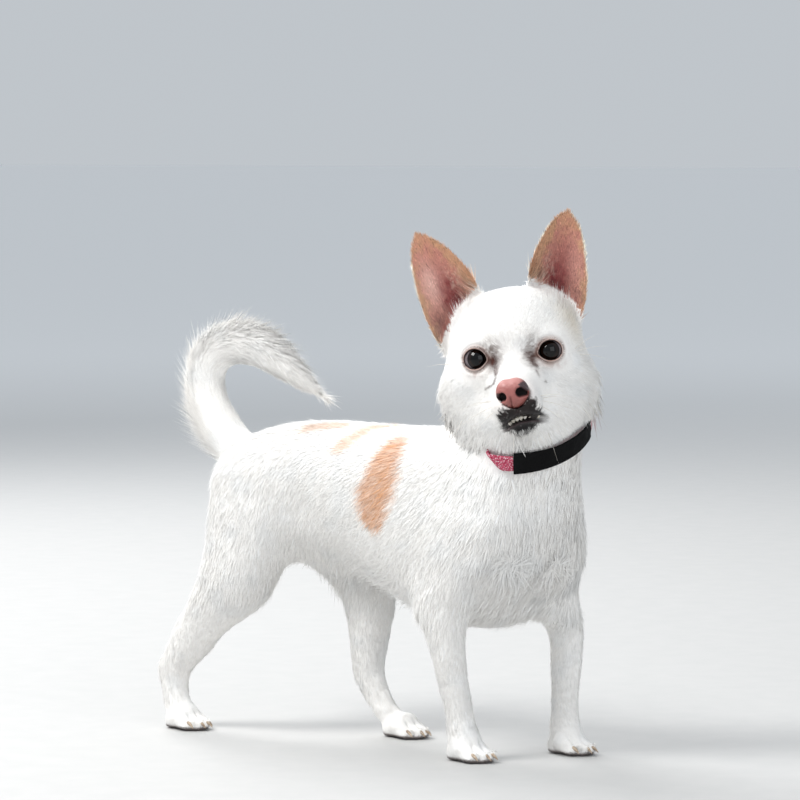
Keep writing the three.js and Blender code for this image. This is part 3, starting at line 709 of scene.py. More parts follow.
def earTones(q, normals, fine, rough):
    t, u, rear, _ = earPlaces(q, normals)
    # rim marks where the ear turns edge-on, for a painted rim light
    inside, rim = ramp(rear, -0.05, 0.35), bell(rear, 0.5)
    across = np.stack([t, u], 1)
    leftEar = q[:, 0] > 0
    skinEar = painted(
        "earPink",
        # a painted highlight: a pale pink patch on the inner ear, strong on the right ear and faint on the
        # left
        ("earHighlight", near(across, (0.42, -0.3), (0.22, 0.42)) * np.where(leftEar, 0.25, 0.95)),
        # painted shade: the left ear, turned from the light, painted deeper red in the middle
        ("earDeep", near(across, (0.42, 0), (0.4, 0.7)) * leftEar * 0.4),
        ("earDeep", near(across, (0.2, 0.16), (0.28, 0.42)) * (1.15 + 0.8 * (rough - 0.4))),
        ("earDeep", near(across, (0.04, -0.62), (0.11, 0.25)) * 0.8),
        ("earTan", ramp(np.abs(u) + (rough - 0.5) * 0.4, 0.62, 1.0) * 0.85),
        ("earTan", ramp(t + (rough - 0.5) * 0.25, 0.62, 1.0) * 0.75),
        ("cream", near(across, (0.2, 0.62), (0.26, 0.34)) * ramp(fine, 0.4, 0.8) * 0.45),
    )
    edge = ramp(np.where(u > 0, u - 0.36, -u), 0.92, 1.04)
    outEar = painted(
        "earTan",
        ("cream", 0.25 + 0.4 * (rough - 0.5)),
        ("white", fade(t + (rough - 0.5) * 0.2, 0.02, 0.24)),
    )
    whiteTo = whiteOnEar(u)
    return painted(
        mix(outEar, skinEar, inside[:, None]),
        # cream along the ear's outline, and a painted rim light where the ear turns edge-on
        ("cream", np.maximum(rim, edge)),
        ("white", fade(t + (fine - 0.5) * 0.2, whiteTo - 0.05, whiteTo + 0.08)),
    )


def eyeTones(q, s, inHead, fine, rough):
    off, x, _, _ = eyePolar(q, s)
    right = s < 0
    close = inHead * (span(fromEye(q, s)) < 21)
    brow = near(q, (s * 13.2, -34, 5 if right else 1), (7, 10, 8.5 if right else 12))
    brow = brow * ramp(fine, 0.05, 0.8) * 0.95
    under = near(q, (s * 24, -33, -9.5), (10, 8, 3.4)) * (0.22 + 0.3 * ramp(rough, 0.4, 0.7))
    layers = [("tick", inHead * brow), ("lidShade", inHead * under)]
    for trough in tears[s]:
        line = bell(pathDistance(q[:, [0, 2]], trough), 0.8) * ramp(rough, 0.15, 0.55)
        layers.append(("tear", inHead * line * ramp(-q[:, 1], 18, 28) * 0.75))
    return layers + [
        ("tear", inHead * near(q, (s * 13.6, -37, -3), (4.5, 7, 6)) * (1.1 if right else 0.9)),
        ("lidShade", close * fade(off, 1.6, 4.4) * 0.5),
        ("tear", close * bell(off - 1.7, 0.8) * (0.35 + 0.5 * ramp(-x, -2, 6))),
        ("lid", close * fade(off, 0.75, 1.05) * (1 - 0.6 * ramp(-x, 2, 6))),
        ("liner", close * fade(off, 0.4, 0.75)),
    ]


def markings(p, normals, parts):
    q, inHead = parts["q"], parts["head"]
    x, y, z = p.T
    fine, rough, broad = noise(p, 1.3), noise(p, 3.1), noise(p, 11)
    ragged = (rough - 0.5) * 0.55 + (fine - 0.5) * 0.35
    middle, half = (np.interp(z, patch["z"], patch[key]) for key in ("y", "half"))
    off = np.abs(y - middle) / np.maximum(half, 0.1) + ragged * 0.7
    inBand = (x < 0) * ramp(z + (rough - 0.5) * 6, 148, 155) * fade(z, 214, 221)
    found = painted(
        "white",
        ("cool", 0.5 * ramp(broad, 0.45, 0.9)),
        ("fawn", inBand * fade(off, 0.55, 1.25) * (0.72 + 0.5 * (fine - 0.5))),
    )
    for path, share in zip(streaks, (0.66, 0.6)):
        off = pathDistance(p, path) / 9 + ragged * 0.8
        found = painted(found, ("paleFawn", share * fade(off, 0.35, 1.15)))
    found = painted(found, ("cream", inHead * near(q, (36, -6, 18), (14, 16, 14)) * 0.75))
    found = mix(found, earTones(q, normals, fine, rough), ramp(parts["ear"], 0.3, 0.8)[:, None])
    for s in (-1, 1):
        found = painted(found, *eyeTones(q, s, inHead, fine, rough))
    x, y, z = q.T
    below, gap, front = lipPlaces(q)
    front = front * inHead
    centre = np.hypot((x - 2.2) / 17.5, (z + 43.5) / 10.6)
    centre = np.minimum(centre, np.hypot((x - 11) / 7, (z + 34) / 8) + 0.38)
    dark = fade(centre + ragged * 0.7, 0.72, 1.12) * inHead * ramp(-y, 34, 44)
    lipLine = bell(np.minimum(np.abs(below + 0.6), np.abs(below - gap - 1.6)), 1.5)
    inMouth = ramp(below, -0.4, 0.5) * fade(below - gap, -0.3, 0.5) * front
    besideNose = near(q, (0.5, -60, -27), (14.5, 9, 12.5)) * (1 - np.clip(dark * 1.3, 0, 0.9))
    found = painted(
        found,
        ("lip", dark * (1.35 + 0.3 * (fine - 0.5))),
        ("pinkLipAndSheen", dark * ramp(rough, 0.5, 0.8) * ramp(z, -43, -37) * 0.22),
        ("white", dark * (ramp(fine, 0.78, 0.9) * 0.2)),
        ("lip", lipLine * front * 0.95),
        # a painted highlight: a pinkish wet sheen along the lower lip's edge
        ("pinkLipAndSheen", bell(below - gap - 1.2, 0.7) * front * 0.5),
        # inside the mouth: dark gum colour, with painted shade that makes the gap near black
        ("mouth", inMouth),
        ("lid", inHead * besideNose * 0.35),
        ("pad", fade(p[:, 2], 1.5, 3.5) * 0.9),
    )
    return np.clip(found, 0, 1), np.clip(inMouth + lipLine * front, 0, 1)


# Which way the coat lies: directions at places, blended between them.
lieBody = [
    ((0, 0, 232), (0, 1, -0.1)), ((0, 100, 230), (0, 1, 0)), ((0, 200, 222), (0, 0.8, -0.5)),
    ((56, 40, 170), (0, 0.8, -0.6)), ((50, 110, 160), (0, 0.75, -0.65)), ((0, 80, 96), (0, 1, 0)),
    ((45, 190, 160), (0, 0.35, -0.95)), ((30, 225, 150), (0, 0.1, -1)), ((54, 0, 175), (0, 0.45, -0.9)),
    ((0, -60, 165), (0, 0.05, -1)), ((0, -30, 112), (-0.3, 0.5, -0.6)), ((0, -20, 98), (0, 0.9, -0.4)),
    ((50, 10, 112), (0, 0.3, -1)), ((45, 5, 70), (0, 0.15, -1)), ((38, 0, 35), (0, 0, -1)),
    ((36, -12, 6), (0, -0.8, -0.5)), ((36, 230, 100), (0, 0.35, -1)), ((36, 262, 60), (0, 0.3, -1)),
    ((34, 268, 30), (0, 0, -1)), ((36, 250, 6), (0, -0.8, -0.5)), ((32, 142, 95), (0, 0.2, -1)),
    ((29, 140, 55), (0, 0, -1)), ((29, 100, 6), (0, -0.8, -0.5)), ((-10, 12, 245), (0.1, 0.75, -0.65)),
    ((40, -25, 215), (0.1, 0.35, -0.95)), ((-30, -62, 215), (0, 0.1, -1)), ((20, -66, 200), (0.1, 0, -1)),
]
lieHead = [
    ((0, -56, -14), (0, 1, 0.5)), ((0, -38, 8), (0, 0.6, 0.8)), ((0, -22, 32), (0, 0.8, 0.6)),
    ((0, 5, 47), (0, 1, 0)), ((0, 40, 25), (0, 0.4, -1)), ((20, -34, 14), (0.5, 0.5, 0.6)),
    ((34, -12, 12), (0.4, 0.8, 0.3)), ((31, -9, 36), (0.15, 0.35, 0.9)),
    ((42, -4, 27), (0.35, 0.3, 0.85)), ((42, 0, 0), (0.45, 0.6, -0.6)),
    ((38, -18, -16), (0.5, 0.75, -0.45)), ((22, -36, -20), (0.55, 0.75, -0.3)),
    ((15, -50, -30), (0.6, 0.7, -0.35)), ((8, -58, -38), (0.5, 0.3, -0.8)),
    ((22, -30, -42), (0.45, 0.6, -0.7)), ((0, -52, -52), (0, 0.35, -1)), ((0, -30, -56), (0, 0.6, -0.9)),
    ((36, -4, -36), (0.75, 0.1, -0.65)), ((30, 20, -30), (0.7, 0.3, -0.65)),
    ((42, 6, -18), (0.8, 0.3, -0.5)), ((11, -38, -6), (0.2, 0.6, -0.7)),
]
whorls = [(-31, -34, 134), (8, -42, 131)]


def blendLie(p, table, spread):
    total = np.zeros_like(p)
    for place, way in table:
        for s in ((1, -1) if place[0] else (1,)):
            d = span(p - np.array(place) * (s, 1, 1)) / spread
            weight = bell(d) + 1e-3 / (1 + d**4)
            total += weight[:, None] * unit(np.array(way, float) * (s, 1, 1))
    return unit(total)


def turn(way, to, share):
    return unit(mix(way, to, share[:, None]))


def coatLie(p, normals, parts):
    q = parts["q"]
    way = blendLie(p, lieBody, 34)
    onHead = blendLie(q, lieHead, 13)
    for s in (-1, 1):
        d = fromEye(q, s)
        share = 0.75 * fade(span(d), 12, 22)
        onHead = turn(onHead, unit(d + (s * 3, 0, 0)), share)
    way = turn(way, turnedOut(onHead), parts["head"])
    way = turn(way, turnedOut(earPlaces(q, normals)[3]), parts["ear"])
    nearest = np.zeros(len(p), int)
    onTail = parts["tail"] > 0
    nearest[onTail] = np.argmin(span(p[onTail, None] - tailFine[None]), axis=1)
    way = turn(way, tailFineLie[nearest], parts["tail"])
    for whorl in whorls:
        d = p - whorl
        share = 0.85 * bell(span(d), 9)
        way = turn(way, unit(d + np.cross(normals, d) * 0.7), share)
    rise = (way * normals).sum(1, keepdims=True)
    atTip = 0.12 * (parts["tail"] * (nearest > len(tailFine) - 8))[:, None] * (rise > 0)
    return unit(way - normals * rise * (1 - atTip)), nearest


coat = {  # length, width and rise of the tufts by region, in millimetres and degrees
    "body": (8.5, 0.85, 6.5), "neck": (10.5, 0.95, 8), "leg": (5, 0.75, 9), "paw": (2.8, 0.6, 10),
    "head": (4.6, 0.7, 13), "face": (2.2, 0.48, 14), "ear": (3.2, 0.42, 11), "tail": (9.5, 0.8, 8),
}


def hiddenAt(angle, height):
    turned = (angle + 100) % 360 - 100
    slant = 8 * np.clip(height / 5, -1, 1)
    return ramp(turned, -44, -32) * fade(turned + slant, 176, 190)


def hiddenBand(p):
    angle, rise, _ = collarPlace(p)
    return hiddenAt(angle, rise - 0.6)


def bandShows(p, low, high):
    rise = collarPlace(p)[1]
    return (hiddenBand(p) < collar["hidden"]) & (rise > low) & (rise < high) & (p[:, 1] < 60)


def coatSize(p, normals, parts, nearest, way):
    y = p[:, 1]
    q, inHead, inEar, inTail = (parts[key] for key in ("q", "head", "ear", "tail"))
    rise = collarPlace(p)[1]
    face = near(q, (0, -52, -26), (26, 30, 26)) * 1.8
    for s in (-1, 1):
        face = np.maximum(face, fade(span(fromEye(q, s)), 13, 22))
    shares = parts | {"neck": fade(y, -25, 20), "face": inHead * face}
    size = np.array(coat["body"], float)
    for kind in ("neck", "leg", "head", "face", "paw", "ear", "tail"):
        size = mix(size, np.array(coat[kind], float), np.clip(shares[kind], 0, 1)[:, None])
    t, u, rear, _ = earPlaces(q, normals)
    outward = outOfCurl(tailFineLie[nearest])
    outside = inTail * ramp((normals * outward).sum(1), 0.05, 0.85)
    tipward = ramp(nearest / 8, 9, 12.5)
    ruff = inHead * ramp(q[:, 1], -22, 2) * fade(q[:, 2], -16, 0) * (1 - inEar)
    over = ramp(rise, 4, 5) * fade(rise, 13, 20) * (y < 60) * hiddenBand(p)
    longer = [  # share, and what it adds to length, width and rise
        (ruff, (5.5, 0.3, 17)),
        (over, (6, 0.3, 4)),
        (inHead * near(q, (0, -36, -57), (26, 20, 9)), (5, 0.1, 12)),
        (outside * (1 - 0.75 * tipward), (5.5, 0, 7)),
        (outside * fade(nearest / 8, 2, 5), (4, 0, 4)),
        (inTail * tipward, (3, 0, -4)),
    ]
    longer += [(inHead * near(q, (s * 35, -4, 29), (17, 15, 13)), (6, 0.05, 12)) for s in (-1, 1)]
    for share, more in longer:
        size = size + share[:, None] * more
    size *= 1 - (inEar * bell(rear, 0.4))[:, None] * (0.4, 0.2, 0.6)
    belly = near(p, (0, 104, 112), (70, 66, 20)) * (1 - parts["leg"]) * ramp(-normals[:, 2], 0.1, 0.6)
    whiteTo = whiteOnEar(u)
    atBase = inEar * ramp(rear, 0, 0.3) * fade(t, whiteTo, whiteTo + 0.14)
    longer = [(near(p, whorl, (11, 11, 9)), (2, 0.1, 16)) for whorl in whorls]
    for share, more in longer + [(belly, (5, 0, 20)), (atBase, (7, 0, 10))]:
        size += share[:, None] * more
    down = -(way @ collarAxis)
    toSleeve = (rise - 8.6 + 3.4) / np.clip(down, 0.35, 1)
    nearSleeve = bandShows(p, *collar["nearSleeve"]) & (down > 0.2)
    size[:, 0] = np.where(nearSleeve, np.minimum(size[:, 0], toSleeve), size[:, 0])
    return size


def bareness(p, parts):
    q, inHead = parts["q"], parts["head"] > 0.5
    bare = p[:, 2] < 1.2
    for s in (-1, 1):
        off, _, _, y = eyePolar(q, s)
        bare |= (span(fromEye(q, s)) < 17) & (off < 1.1) & (y < 2)
    below, gap, front = lipPlaces(q)
    bare |= inHead & (front > 0.2) & (below > -1.2) & (below < gap + 2.2)
    bare |= inHead & (span((q - (0.3, -60.5, -26.5)) / (12.3, 12, 10.8)) < 1)
    return bare | bandShows(p, *collar["bare"]) & (p[:, 2] > 150)


# An unwrap of the skin, on which each tuft takes the place of its root.
def unwrap(piece):
    bpy.context.view_layer.objects.active = piece
    piece.select_set(True)
    piece.data.uv_layers.new(name="OFBake")
    bpy.ops.object.mode_set(mode="EDIT")
    bpy.ops.mesh.select_all(action="SELECT")
    bpy.ops.uv.smart_project(angle_limit=math.radians(66), island_margin=0.002)
    bpy.ops.object.mode_set(mode="OBJECT")
    piece.select_set(False)


def skinArrays(mesh):
    corners = listed(mesh.loops, "vertex_index", 1, np.int32)
    flat = listed(mesh.uv_layers["OFBake"].data, "uv", 2, np.float32)
    return corners.reshape(-1, 3), flat.reshape(-1, 3, 2)


coatPieces = {  # how many tufts, whether each is bent, and how much their tones differ
    "coat_head": (49000, False, 0.05), "coat_ears": (29000, False, 0.32), "coat_neck": (19500, True, 0.05),
    "coat_chest": (43000, False, 0.05), "coat_flanks": (43000, False, 0.05),
    "coat_haunches": (43000, False, 0.05), "coat_forelegs": (24000, False, 0.05),
    "coat_hindlegs": (30000, False, 0.05), "coat_tail": (47000, False, 0.04),
    "coat_ruff": (12000, True, 0.05),
}


def coatRegions(p, parts):
    _, y, z = p.T
    q, inHead = parts["q"], parts["head"] > 0.5
    back = (q[:, 1] > -8) & (q[:, 2] < -8) | (q[:, 2] < -50)
    names = list(coatPieces)
    found = np.full(len(p), names.index("coat_flanks"))
    for name, where in (  # later ones lie over earlier ones
        ("coat_chest", y < 55), ("coat_haunches", y >= 148), ("coat_neck", (y < 25) & (z > 172)),
        ("coat_forelegs", (y < 90) & (z < 90)), ("coat_hindlegs", (y >= 90) & (z < 106)),
        ("coat_tail", parts["tail"] > 0.5), ("coat_head", inHead), ("coat_ruff", inHead & back),
        ("coat_ears", parts["ear"] > 0.5),
    ):
        found[where] = names.index(name)
    return found


tuft = {  # how far lengths, widths, rises and ways differ, the strays, and where roots and tips lie
    "length": 0.22, "width": 0.2, "rise": 3.8, "swing": 0.16, "strays": 0.12, "strayLength": 0.3,
    "strayRise": 14, "sunk": 0.35, "ridge": 0.45, "lowest": 0.15, "patch": 0.0012,
}


def growTufts(name, roots, up, way, size, uv, tone, bent):
    n = len(roots)
    wobble = chance.normal(0, 1, (n, 3))
    length = size[:, 0] * (1 + tuft["length"] * wobble[:, 0]).clip(0.4, 1.7)
    width = size[:, 1] * (1 + tuft["width"] * wobble[:, 1]).clip(0.5, 1.5)
    stray = (chance.random(n) < tuft["strays"]) * ramp(size[:, 0], 6, 9)
    length = length * (1 + tuft["strayLength"] * stray)
    strayRise = tuft["strayRise"] * stray * ramp(size[:, 2], 9, 14)
    lift = np.radians((size[:, 2] + tuft["rise"] * wobble[:, 2] + strayRise).clip(4, 75))
    swing = chance.normal(0, tuft["swing"], n)[:, None]
    way = unit(way + np.cross(way, up) * swing)
    side = np.cross(way, up)

    def stepFrom(place, angle, far):
        rising = way * np.cos(angle)[:, None] + up * np.sin(angle)[:, None]
        return place + rising * (length * far)[:, None]

    start = reach = roots - up * tuft["sunk"]
    rings = [(0, 1.0), (0.5, 0.85)] if bent else [(0, 1.0)]
    layers = []
    for share, wide in rings:
        if share:
            reach = stepFrom(start, lift * (1 - 0.6 * share), share)
        half = (width * wide / 2)[:, None]
        layers += [reach - side * half, reach + side * half, reach + up * half * tuft["ridge"]]
    layers.append(stepFrom(reach, lift * (0.35 if bent else 0.9), 0.5 if bent else 1))
    points = np.stack(layers, 1)
    points[..., 2] = np.maximum(points[..., 2], tuft["lowest"])
    count = points.shape[1]
    tip = count - 1
    faces, under = [(0, 1, 2)], [False]
    for r in range(len(rings) - 1):
        a, b = 3 * r, 3 * r + 3
        for i, j in ((0, 2), (2, 1), (1, 0)):
            faces += [(a + i, a + j, b + j), (a + i, b + j, b + i)]
            under += [j == 0, j == 0]
    a = 3 * (len(rings) - 1)
    faces += [(a, a + 2, tip), (a + 2, a + 1, tip), (a + 1, a, tip)]
    under += [False, False, True]
    faces = np.array(faces)
    triangles = (np.arange(n)[:, None, None] * count + faces[None]).reshape(-1, 3)
    mesh = meshOf(name, points.reshape(-1, 3), triangles)
    lean = np.array([-0.4, 0.4, 0.0] * len(rings) + [0.0])[:, None]
    shown = unit(up[:, None] + side[:, None] * lean + way[:, None] * 0.1)[:, faces]
    shown[:, under] = -up[:, None, None]
    shown[:, 0] = -way[:, None]
    mesh.normals_split_custom_set(shown.reshape(-1, 3))
    setColour(mesh, "coatTone", np.repeat(tone, count, 0))
    nudge = chance.uniform(-tuft["patch"], tuft["patch"], (n, count, 2)) + uv[:, None]
    layer = mesh.uv_layers.new(name="OFBake")
    layer.data.foreach_set("uv", nudge.reshape(-1, 2)[triangles.ravel()].astype(np.float32).ravel())
    return mesh


def hairLook():
    look = Look("coatHair")
    base = look.attribute("coatTone")
    streak = look.noise(900, 2)
    shaded = look.blend(streak.above(0.35, 0.75) * 0.16, base, (0.62, 0.6, 0.58), "MULTIPLY")
    rough = 0.5 + look.noise(300, 2) * 0.25
    return look.finish(Base_Color=shaded, Roughness=rough, Specular_IOR_Level=0.35)


def skinLook():
    look = Look("skinUnderCoat")
    place = look.objectPlace()
    tone = look.attribute("coatTone")
    wet = look.attribute("wetness", "Fac")
    mottle = look.noise(420, 4, place)
    pores = look.noise(2600, 3, place)
    shaded = look.blend(mottle * 0.22, tone, (0.55, 0.5, 0.48), "MULTIPLY")
    rough = 0.78 - wet * 0.42 + pores * 0.1
    normal = look.bump(pores * 0.5 + mottle, 0.35, 0.0004)
    return look.finish(Base_Color=shaded, Roughness=rough, Normal=normal)


skin = link("skin", skinMesh, skinLook())
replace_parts(skin, *flesh["nodes"])
unwrap(skin)
print("unwrapped")

p = placesOf(skinMesh)
normals = normalsOf(skinMesh)
parts = partsOf(p)
tone, wet = markings(p, normals, parts)
setColour(skinMesh, "coatTone", tone)
setShare(skinMesh, "wetness", wet)

triangles, triangleUv = skinArrays(skinMesh)
corner = p[triangles]
area = span(np.cross(corner[:, 1] - corner[:, 0], corner[:, 2] - corner[:, 0])) / 2
centres = corner.mean(1)
region = coatRegions(centres, partsOf(centres))
hairMaterial = hairLook()
for index, (name, (count, bent, vary)) in enumerate(coatPieces.items()):
    mine = np.flatnonzero(region == index)
    chosen = mine[chance.choice(len(mine), count, p=area[mine] / area[mine].sum())]
    a, b = np.sqrt(chance.random(count)), chance.random(count)
    weights = np.stack([1 - a, a * (1 - b), a * b], 1)[:, :, None]
    roots = (corner[chosen] * weights).sum(1)
    up = unit((normals[triangles[chosen]] * weights).sum(1))
    uv = (triangleUv[chosen] * weights).sum(1)
    rootParts = partsOf(roots)
    keep = ~bareness(roots, rootParts)
    roots, up, uv = roots[keep], up[keep], uv[keep]
    rootParts = partsOf(roots)
    way, nearest = coatLie(roots, up, rootParts)
    size = coatSize(roots, up, rootParts, nearest, way)
    seen = roots + way * size[:, :1] * 0.9
    tone, _ = markings(seen, up, partsOf(seen))
    tone = np.clip(tone * (1 + chance.normal(0, vary, len(roots)))[:, None], 0, 1)
    mesh = growTufts(name, roots, up, way, size, uv, tone, bent)
    link(name, mesh, hairMaterial)
    print(name, len(roots), "tufts", len(mesh.polygons), "faces")


# Eyes, nose, teeth, claws and whiskers, each a piece of its own.
def ball(name, rounds):
    bm = bmesh.new()
    bmesh.ops.create_icosphere(bm, subdivisions=rounds, radius=1)
    mesh = meshFrom(bm, name)
    mesh.shade_smooth()
    return mesh


eye = {
    "radius": 9.7, "cornea": 0.75, "corneaWidth": 6.6, "iris": 7.2, "pupil": 4.2, "toCamera": 0.85,
    "colours": ("030203", "1c0e09", "060304", "7a7073"),
}


def eyeLook():
    look = Look("eyeGloss")
    tone = look.attribute("eyeTone")
    fibres = look.noise(1500, 4)
    shaded = look.blend(fibres * 0.3, tone, (0.5, 0.42, 0.38), "MULTIPLY")
    wet = look.noise(90, 2)
    return look.finish(Base_Color=shaded, Roughness=0.03 + wet * 0.05, Specular_IOR_Level=0.3)


def makeEye(s, node, material):
    mesh = ball(node.replace("eye", "eyeball"), 6)
    out = unit(pointsOf(mesh))
    centre = outOfHead((s * head["eyeSpacing"] / 2, head["eyeDepth"], 0))
    ahead = turnedOut((0, -1.0, 0))
    gaze = unit(mix(ahead, unit(np.array(photo["place"]) - centre), eye["toCamera"]))
    arc = np.arccos(np.clip(out @ gaze, -1, 1)) * eye["radius"]
    bulge = eye["cornea"] * fade(arc, 0, eye["corneaWidth"]) ** 0.7
    setPlaces(mesh, centre + out * (eye["radius"] + bulge)[:, None])
    pupil, iris, ring, white = (colour(code) for code in eye["colours"])
    spoke = noise(out * 9 + 40, 1.1)
    tone = pupil
    for over, low, high in (
        (iris * (0.6 + 0.8 * spoke)[:, None], eye["pupil"], eye["pupil"] + 0.8),
        (ring, eye["iris"] - 1.3, eye["iris"] - 0.2),
        (white * (0.8 + 0.3 * spoke)[:, None], eye["iris"], eye["iris"] + 0.7),
    ):
        tone = mix(tone, over, ramp(arc, low, high)[:, None])
    setColour(mesh, "eyeTone", np.clip(tone, 0, 1))
    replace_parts(link(mesh.name, mesh, material), node)


nose = {
    "half": (11.2, 8.7, 10.5), "centre": (-0.9, -59.3, -25.6), "philtrum": -2.2,
    "holeDepth": 5.2, "rim": 0.35, "lineDepth": 0.9, "lobes": 0.8,
    "holes": [((-8.2, -27.9), (-11.2, -29.8), 3.4), ((5.0, -25.8), (9.8, -27.2), 3.6)],
}


def noseLook():
    look = Look("noseSkin")
    tone = look.attribute("noseTone")
    cells = look.noise(1500, kind="ShaderNodeTexVoronoi")
    mottle = look.noise(380, 4)
    shaded = look.blend(mottle * 0.3, tone, (0.62, 0.5, 0.48), "MULTIPLY")
    # painted shade: the leather darker in the dimples that the bump presses in
    dimplesShaded = look.blend(cells.above(0.0, 0.5) * -0.3 + 0.3, shaded, (0.6, 0.45, 0.42), "MULTIPLY")
    normal = look.bump(cells.above(0.05, 0.6) + mottle * 0.4, 0.5, 0.0003)
    wet = look.attribute("wetness", "Fac")
    rough = 0.9 - wet * 0.56 + mottle * 0.2
    gloss = {"Coat_Weight": wet * 0.25, "Coat_Roughness": 0.2}
    return look.finish(Base_Color=dimplesShaded, Roughness=rough, Normal=normal, **gloss)


def makeNose():
    mesh = ball("nose_pad", 6)
    d = unit(pointsOf(mesh))
    x, y, z = d.T
    wide, deep, high = nose["half"]
    cx, cy, cz = nose["centre"]
    narrow = 1 - 0.3 * np.clip(-z, 0, 1) ** 1.3
    q = np.stack([
        cx + np.sign(x) * np.abs(x) ** 0.86 * wide * narrow,
        cy + y * deep - z * 1.5,
        cz + np.sign(z) * np.abs(z) ** 0.9 * high,
    ], 1)
    out = unit(q - np.array(nose["centre"]))
    front = ramp(-y, 0.05, 0.35)
    hole, rim = np.zeros(len(q)), np.zeros(len(q))
    flat = q[:, [0, 2]]
    for a, b, size in nose["holes"]:
        a, b = np.array(a), np.array(b)
        t = np.clip((flat - a) @ (b - a) / ((b - a) @ (b - a)), 0, 1)
        off = span(flat - a - t[:, None] * (b - a)) / (size * (1 - 0.62 * t))
        hole = np.maximum(hole, fade(off, 0.72, 1.08) * (1 - 0.35 * t))
        rim = np.maximum(rim, bell(off - 1.35, 0.25))
    lineShare = bell(q[:, 0] - nose["philtrum"], 0.7) * ramp(-(q[:, 2] - cz), 1, 4)
    inward = unit(-out * 0.5 + (0, 0.9, 0.15))
    move = inward * (hole * nose["holeDepth"] * front)[:, None]
    move += out * (rim * nose["rim"] * front)[:, None]
    move -= out * (lineShare * nose["lineDepth"] * front)[:, None]
    lobes = bell(q[:, 0] - nose["philtrum"], 3.4) * ramp(q[:, 2] - cz, 3, 8)
    move -= out * (lobes * nose["lobes"])[:, None]
    q = q + move
    setPlaces(mesh, outOfHead(q))
    fine = noise(q, 1.2)
    ragged = (fine - 0.5) * 0.6
    wing = span((flat - (8.2, -21.8)) / (4.2, 3.8)) + ragged
    leftWing = span((flat - (-10.6, -29)) / (1.8, 4.5)) + ragged
    specks = [
        ("2a1516", fade(span(flat - speck), 0.35, 0.8) * 0.8)
        for speck in ((-3.9, -34.6), (0.3, -35.2), (-5.6, -33.4))
    ]
    tone = painted(
        "a7635d",
        # a painted highlight: the top of the nose lighter
        ("d69a94", ramp(q[:, 2] + fine * 2, -22, -16) * 0.8),
        # painted shade: the underside of the nose darker
        ("8a4a42", ramp(-q[:, 2] + fine * 2, 31, 35) * 0.6),
        ("3a2c31", fade(wing, 0.75, 1.2) * 0.95),
        ("33252a", fade(leftWing, 0.75, 1.2) * 0.9),
        # painted shade: darkest low at the back, where the nose meets the lip
        ("2c1719", ramp(y, -0.25, 0.0) * ramp(-q[:, 2], 22, 30) * 0.85),
        # painted shade in the groove down the middle of the nose
        ("6d3732", lineShare * front * 0.75),
        *specks,
        # painted shade: the nostrils' insides near black
        ("0c0506", ramp(hole * front, 0.12, 0.6)),
    )
    setColour(mesh, "noseTone", np.clip(tone, 0, 1))
    setShare(mesh, "wetness", fade(hole * front, 0.05, 0.5))
    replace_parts(link("nose_pad", mesh, noseLook()), "nose")


def arraysOf(mesh):
    mesh.calc_loop_triangles()
    return pointsOf(mesh), listed(mesh.loop_triangles, "vertices", 3, np.int32)


def plainLook(name, first, second, scale, rough):
    look = Look(name)
    grain = look.noise(scale, 4)
    tone = look.blend(grain.above(0.3, 0.7), colour(first), colour(second))
    normal = look.bump(grain, 0.2, 0.0002)
    return look.finish(Base_Color=tone, Roughness=rough + grain * 0.15, Normal=normal)


incisors = [  # place across the mouth, and height
    (-5.6, 2.0), (-3.2, 2.2), (-0.6, 2.4), (2.0, 2.6), (4.6, 2.6), (7.2, 2.4), (9.8, 2.2), (12.2, 2.0),
]


def joined(name, forms, look):
    points, triangles, count = [], [], 0
    for p, faces in forms:
        points.append(p)
        triangles.append(faces + count)
        count += len(p)
    mesh = meshOf(name, np.concatenate(points), np.concatenate(triangles))
    link(name, mesh, plainLook(*look))


def makeTeeth(skinPlaces):
    unitBall = arraysOf(ball("toothShape", 3))
    forms = []
    for x, high in incisors:
        top = np.interp(x, lips["x"], lips["upper"])
        level = np.abs(skinPlaces[:, 2] - top + 1.6) < 1.2
        close = skinPlaces[(np.abs(skinPlaces[:, 0] - x) < 1.2) & level]
        front = close[close[:, 1] < -30][:, 1].max() if len(close) else -50
        p = unitBall[0] * (1.55, 1.0, high * 0.72 * (0.85 + 0.3 * chance.random()))
        p[:, 0] *= 1 - 0.25 * ramp(-p[:, 2], 0.2, 1.6)
        forms.append((outOfHead(p + (x, front - 1.3, top - 0.9 - 0.5 * chance.random())), unitBall[1]))
    joined("teeth", forms, ("toothEnamel", "ebe7df", "d3c8b4", 700, 0.18))


def tube(name, sides, rings):
    bm = bmesh.new()
    bmesh.ops.create_cone(bm, cap_ends=True, segments=sides, radius1=1, radius2=1, depth=1)
    for level in np.linspace(-0.5, 0.5, rings + 1)[1:-1]:
        whole = bm.verts[:] + bm.edges[:] + bm.faces[:]
        bmesh.ops.bisect_plane(bm, geom=whole, plane_co=(0, 0, level), plane_no=(0, 0, 1))
    return arraysOf(meshFrom(bm, name))


claw = {
    "length": 6.6, "width": 1.5, "drop": (1.2, -4.6), "across": 6.15, "height": 5.6, "turn": 7,
    "ahead": (12.2, 18.2),  # of the outer toes and of the middle ones
}


def makeClaws():
    rod, faces = tube("clawShape", 12, 10)
    t = rod[:, 2] + 0.5
    size = claw["width"] * np.clip(1 - t, 0, 1) ** 0.6 + 0.02
    forms = []
    for x, y in paws:
        for k in (-1.5, -0.5, 0.5, 1.5):
            start = np.array((x + k * claw["across"], y - claw["ahead"][abs(k) < 1], claw["height"]))
            turn = math.radians(k * claw["turn"])
            ahead = np.array((math.sin(turn), -math.cos(turn), 0))
            side = np.array((math.cos(turn), math.sin(turn), 0))
            p = start + ahead * (claw["length"] * t)[:, None] + side * (rod[:, 0] * size)[:, None]
            p[:, 2] += rod[:, 1] * size * 1.15 + claw["drop"][0] * t + claw["drop"][1] * t * t
            forms.append((p, faces))
    joined("claws", forms, ("clawHorn", "cdb9a2", "8f7a66", 260, 0.35))


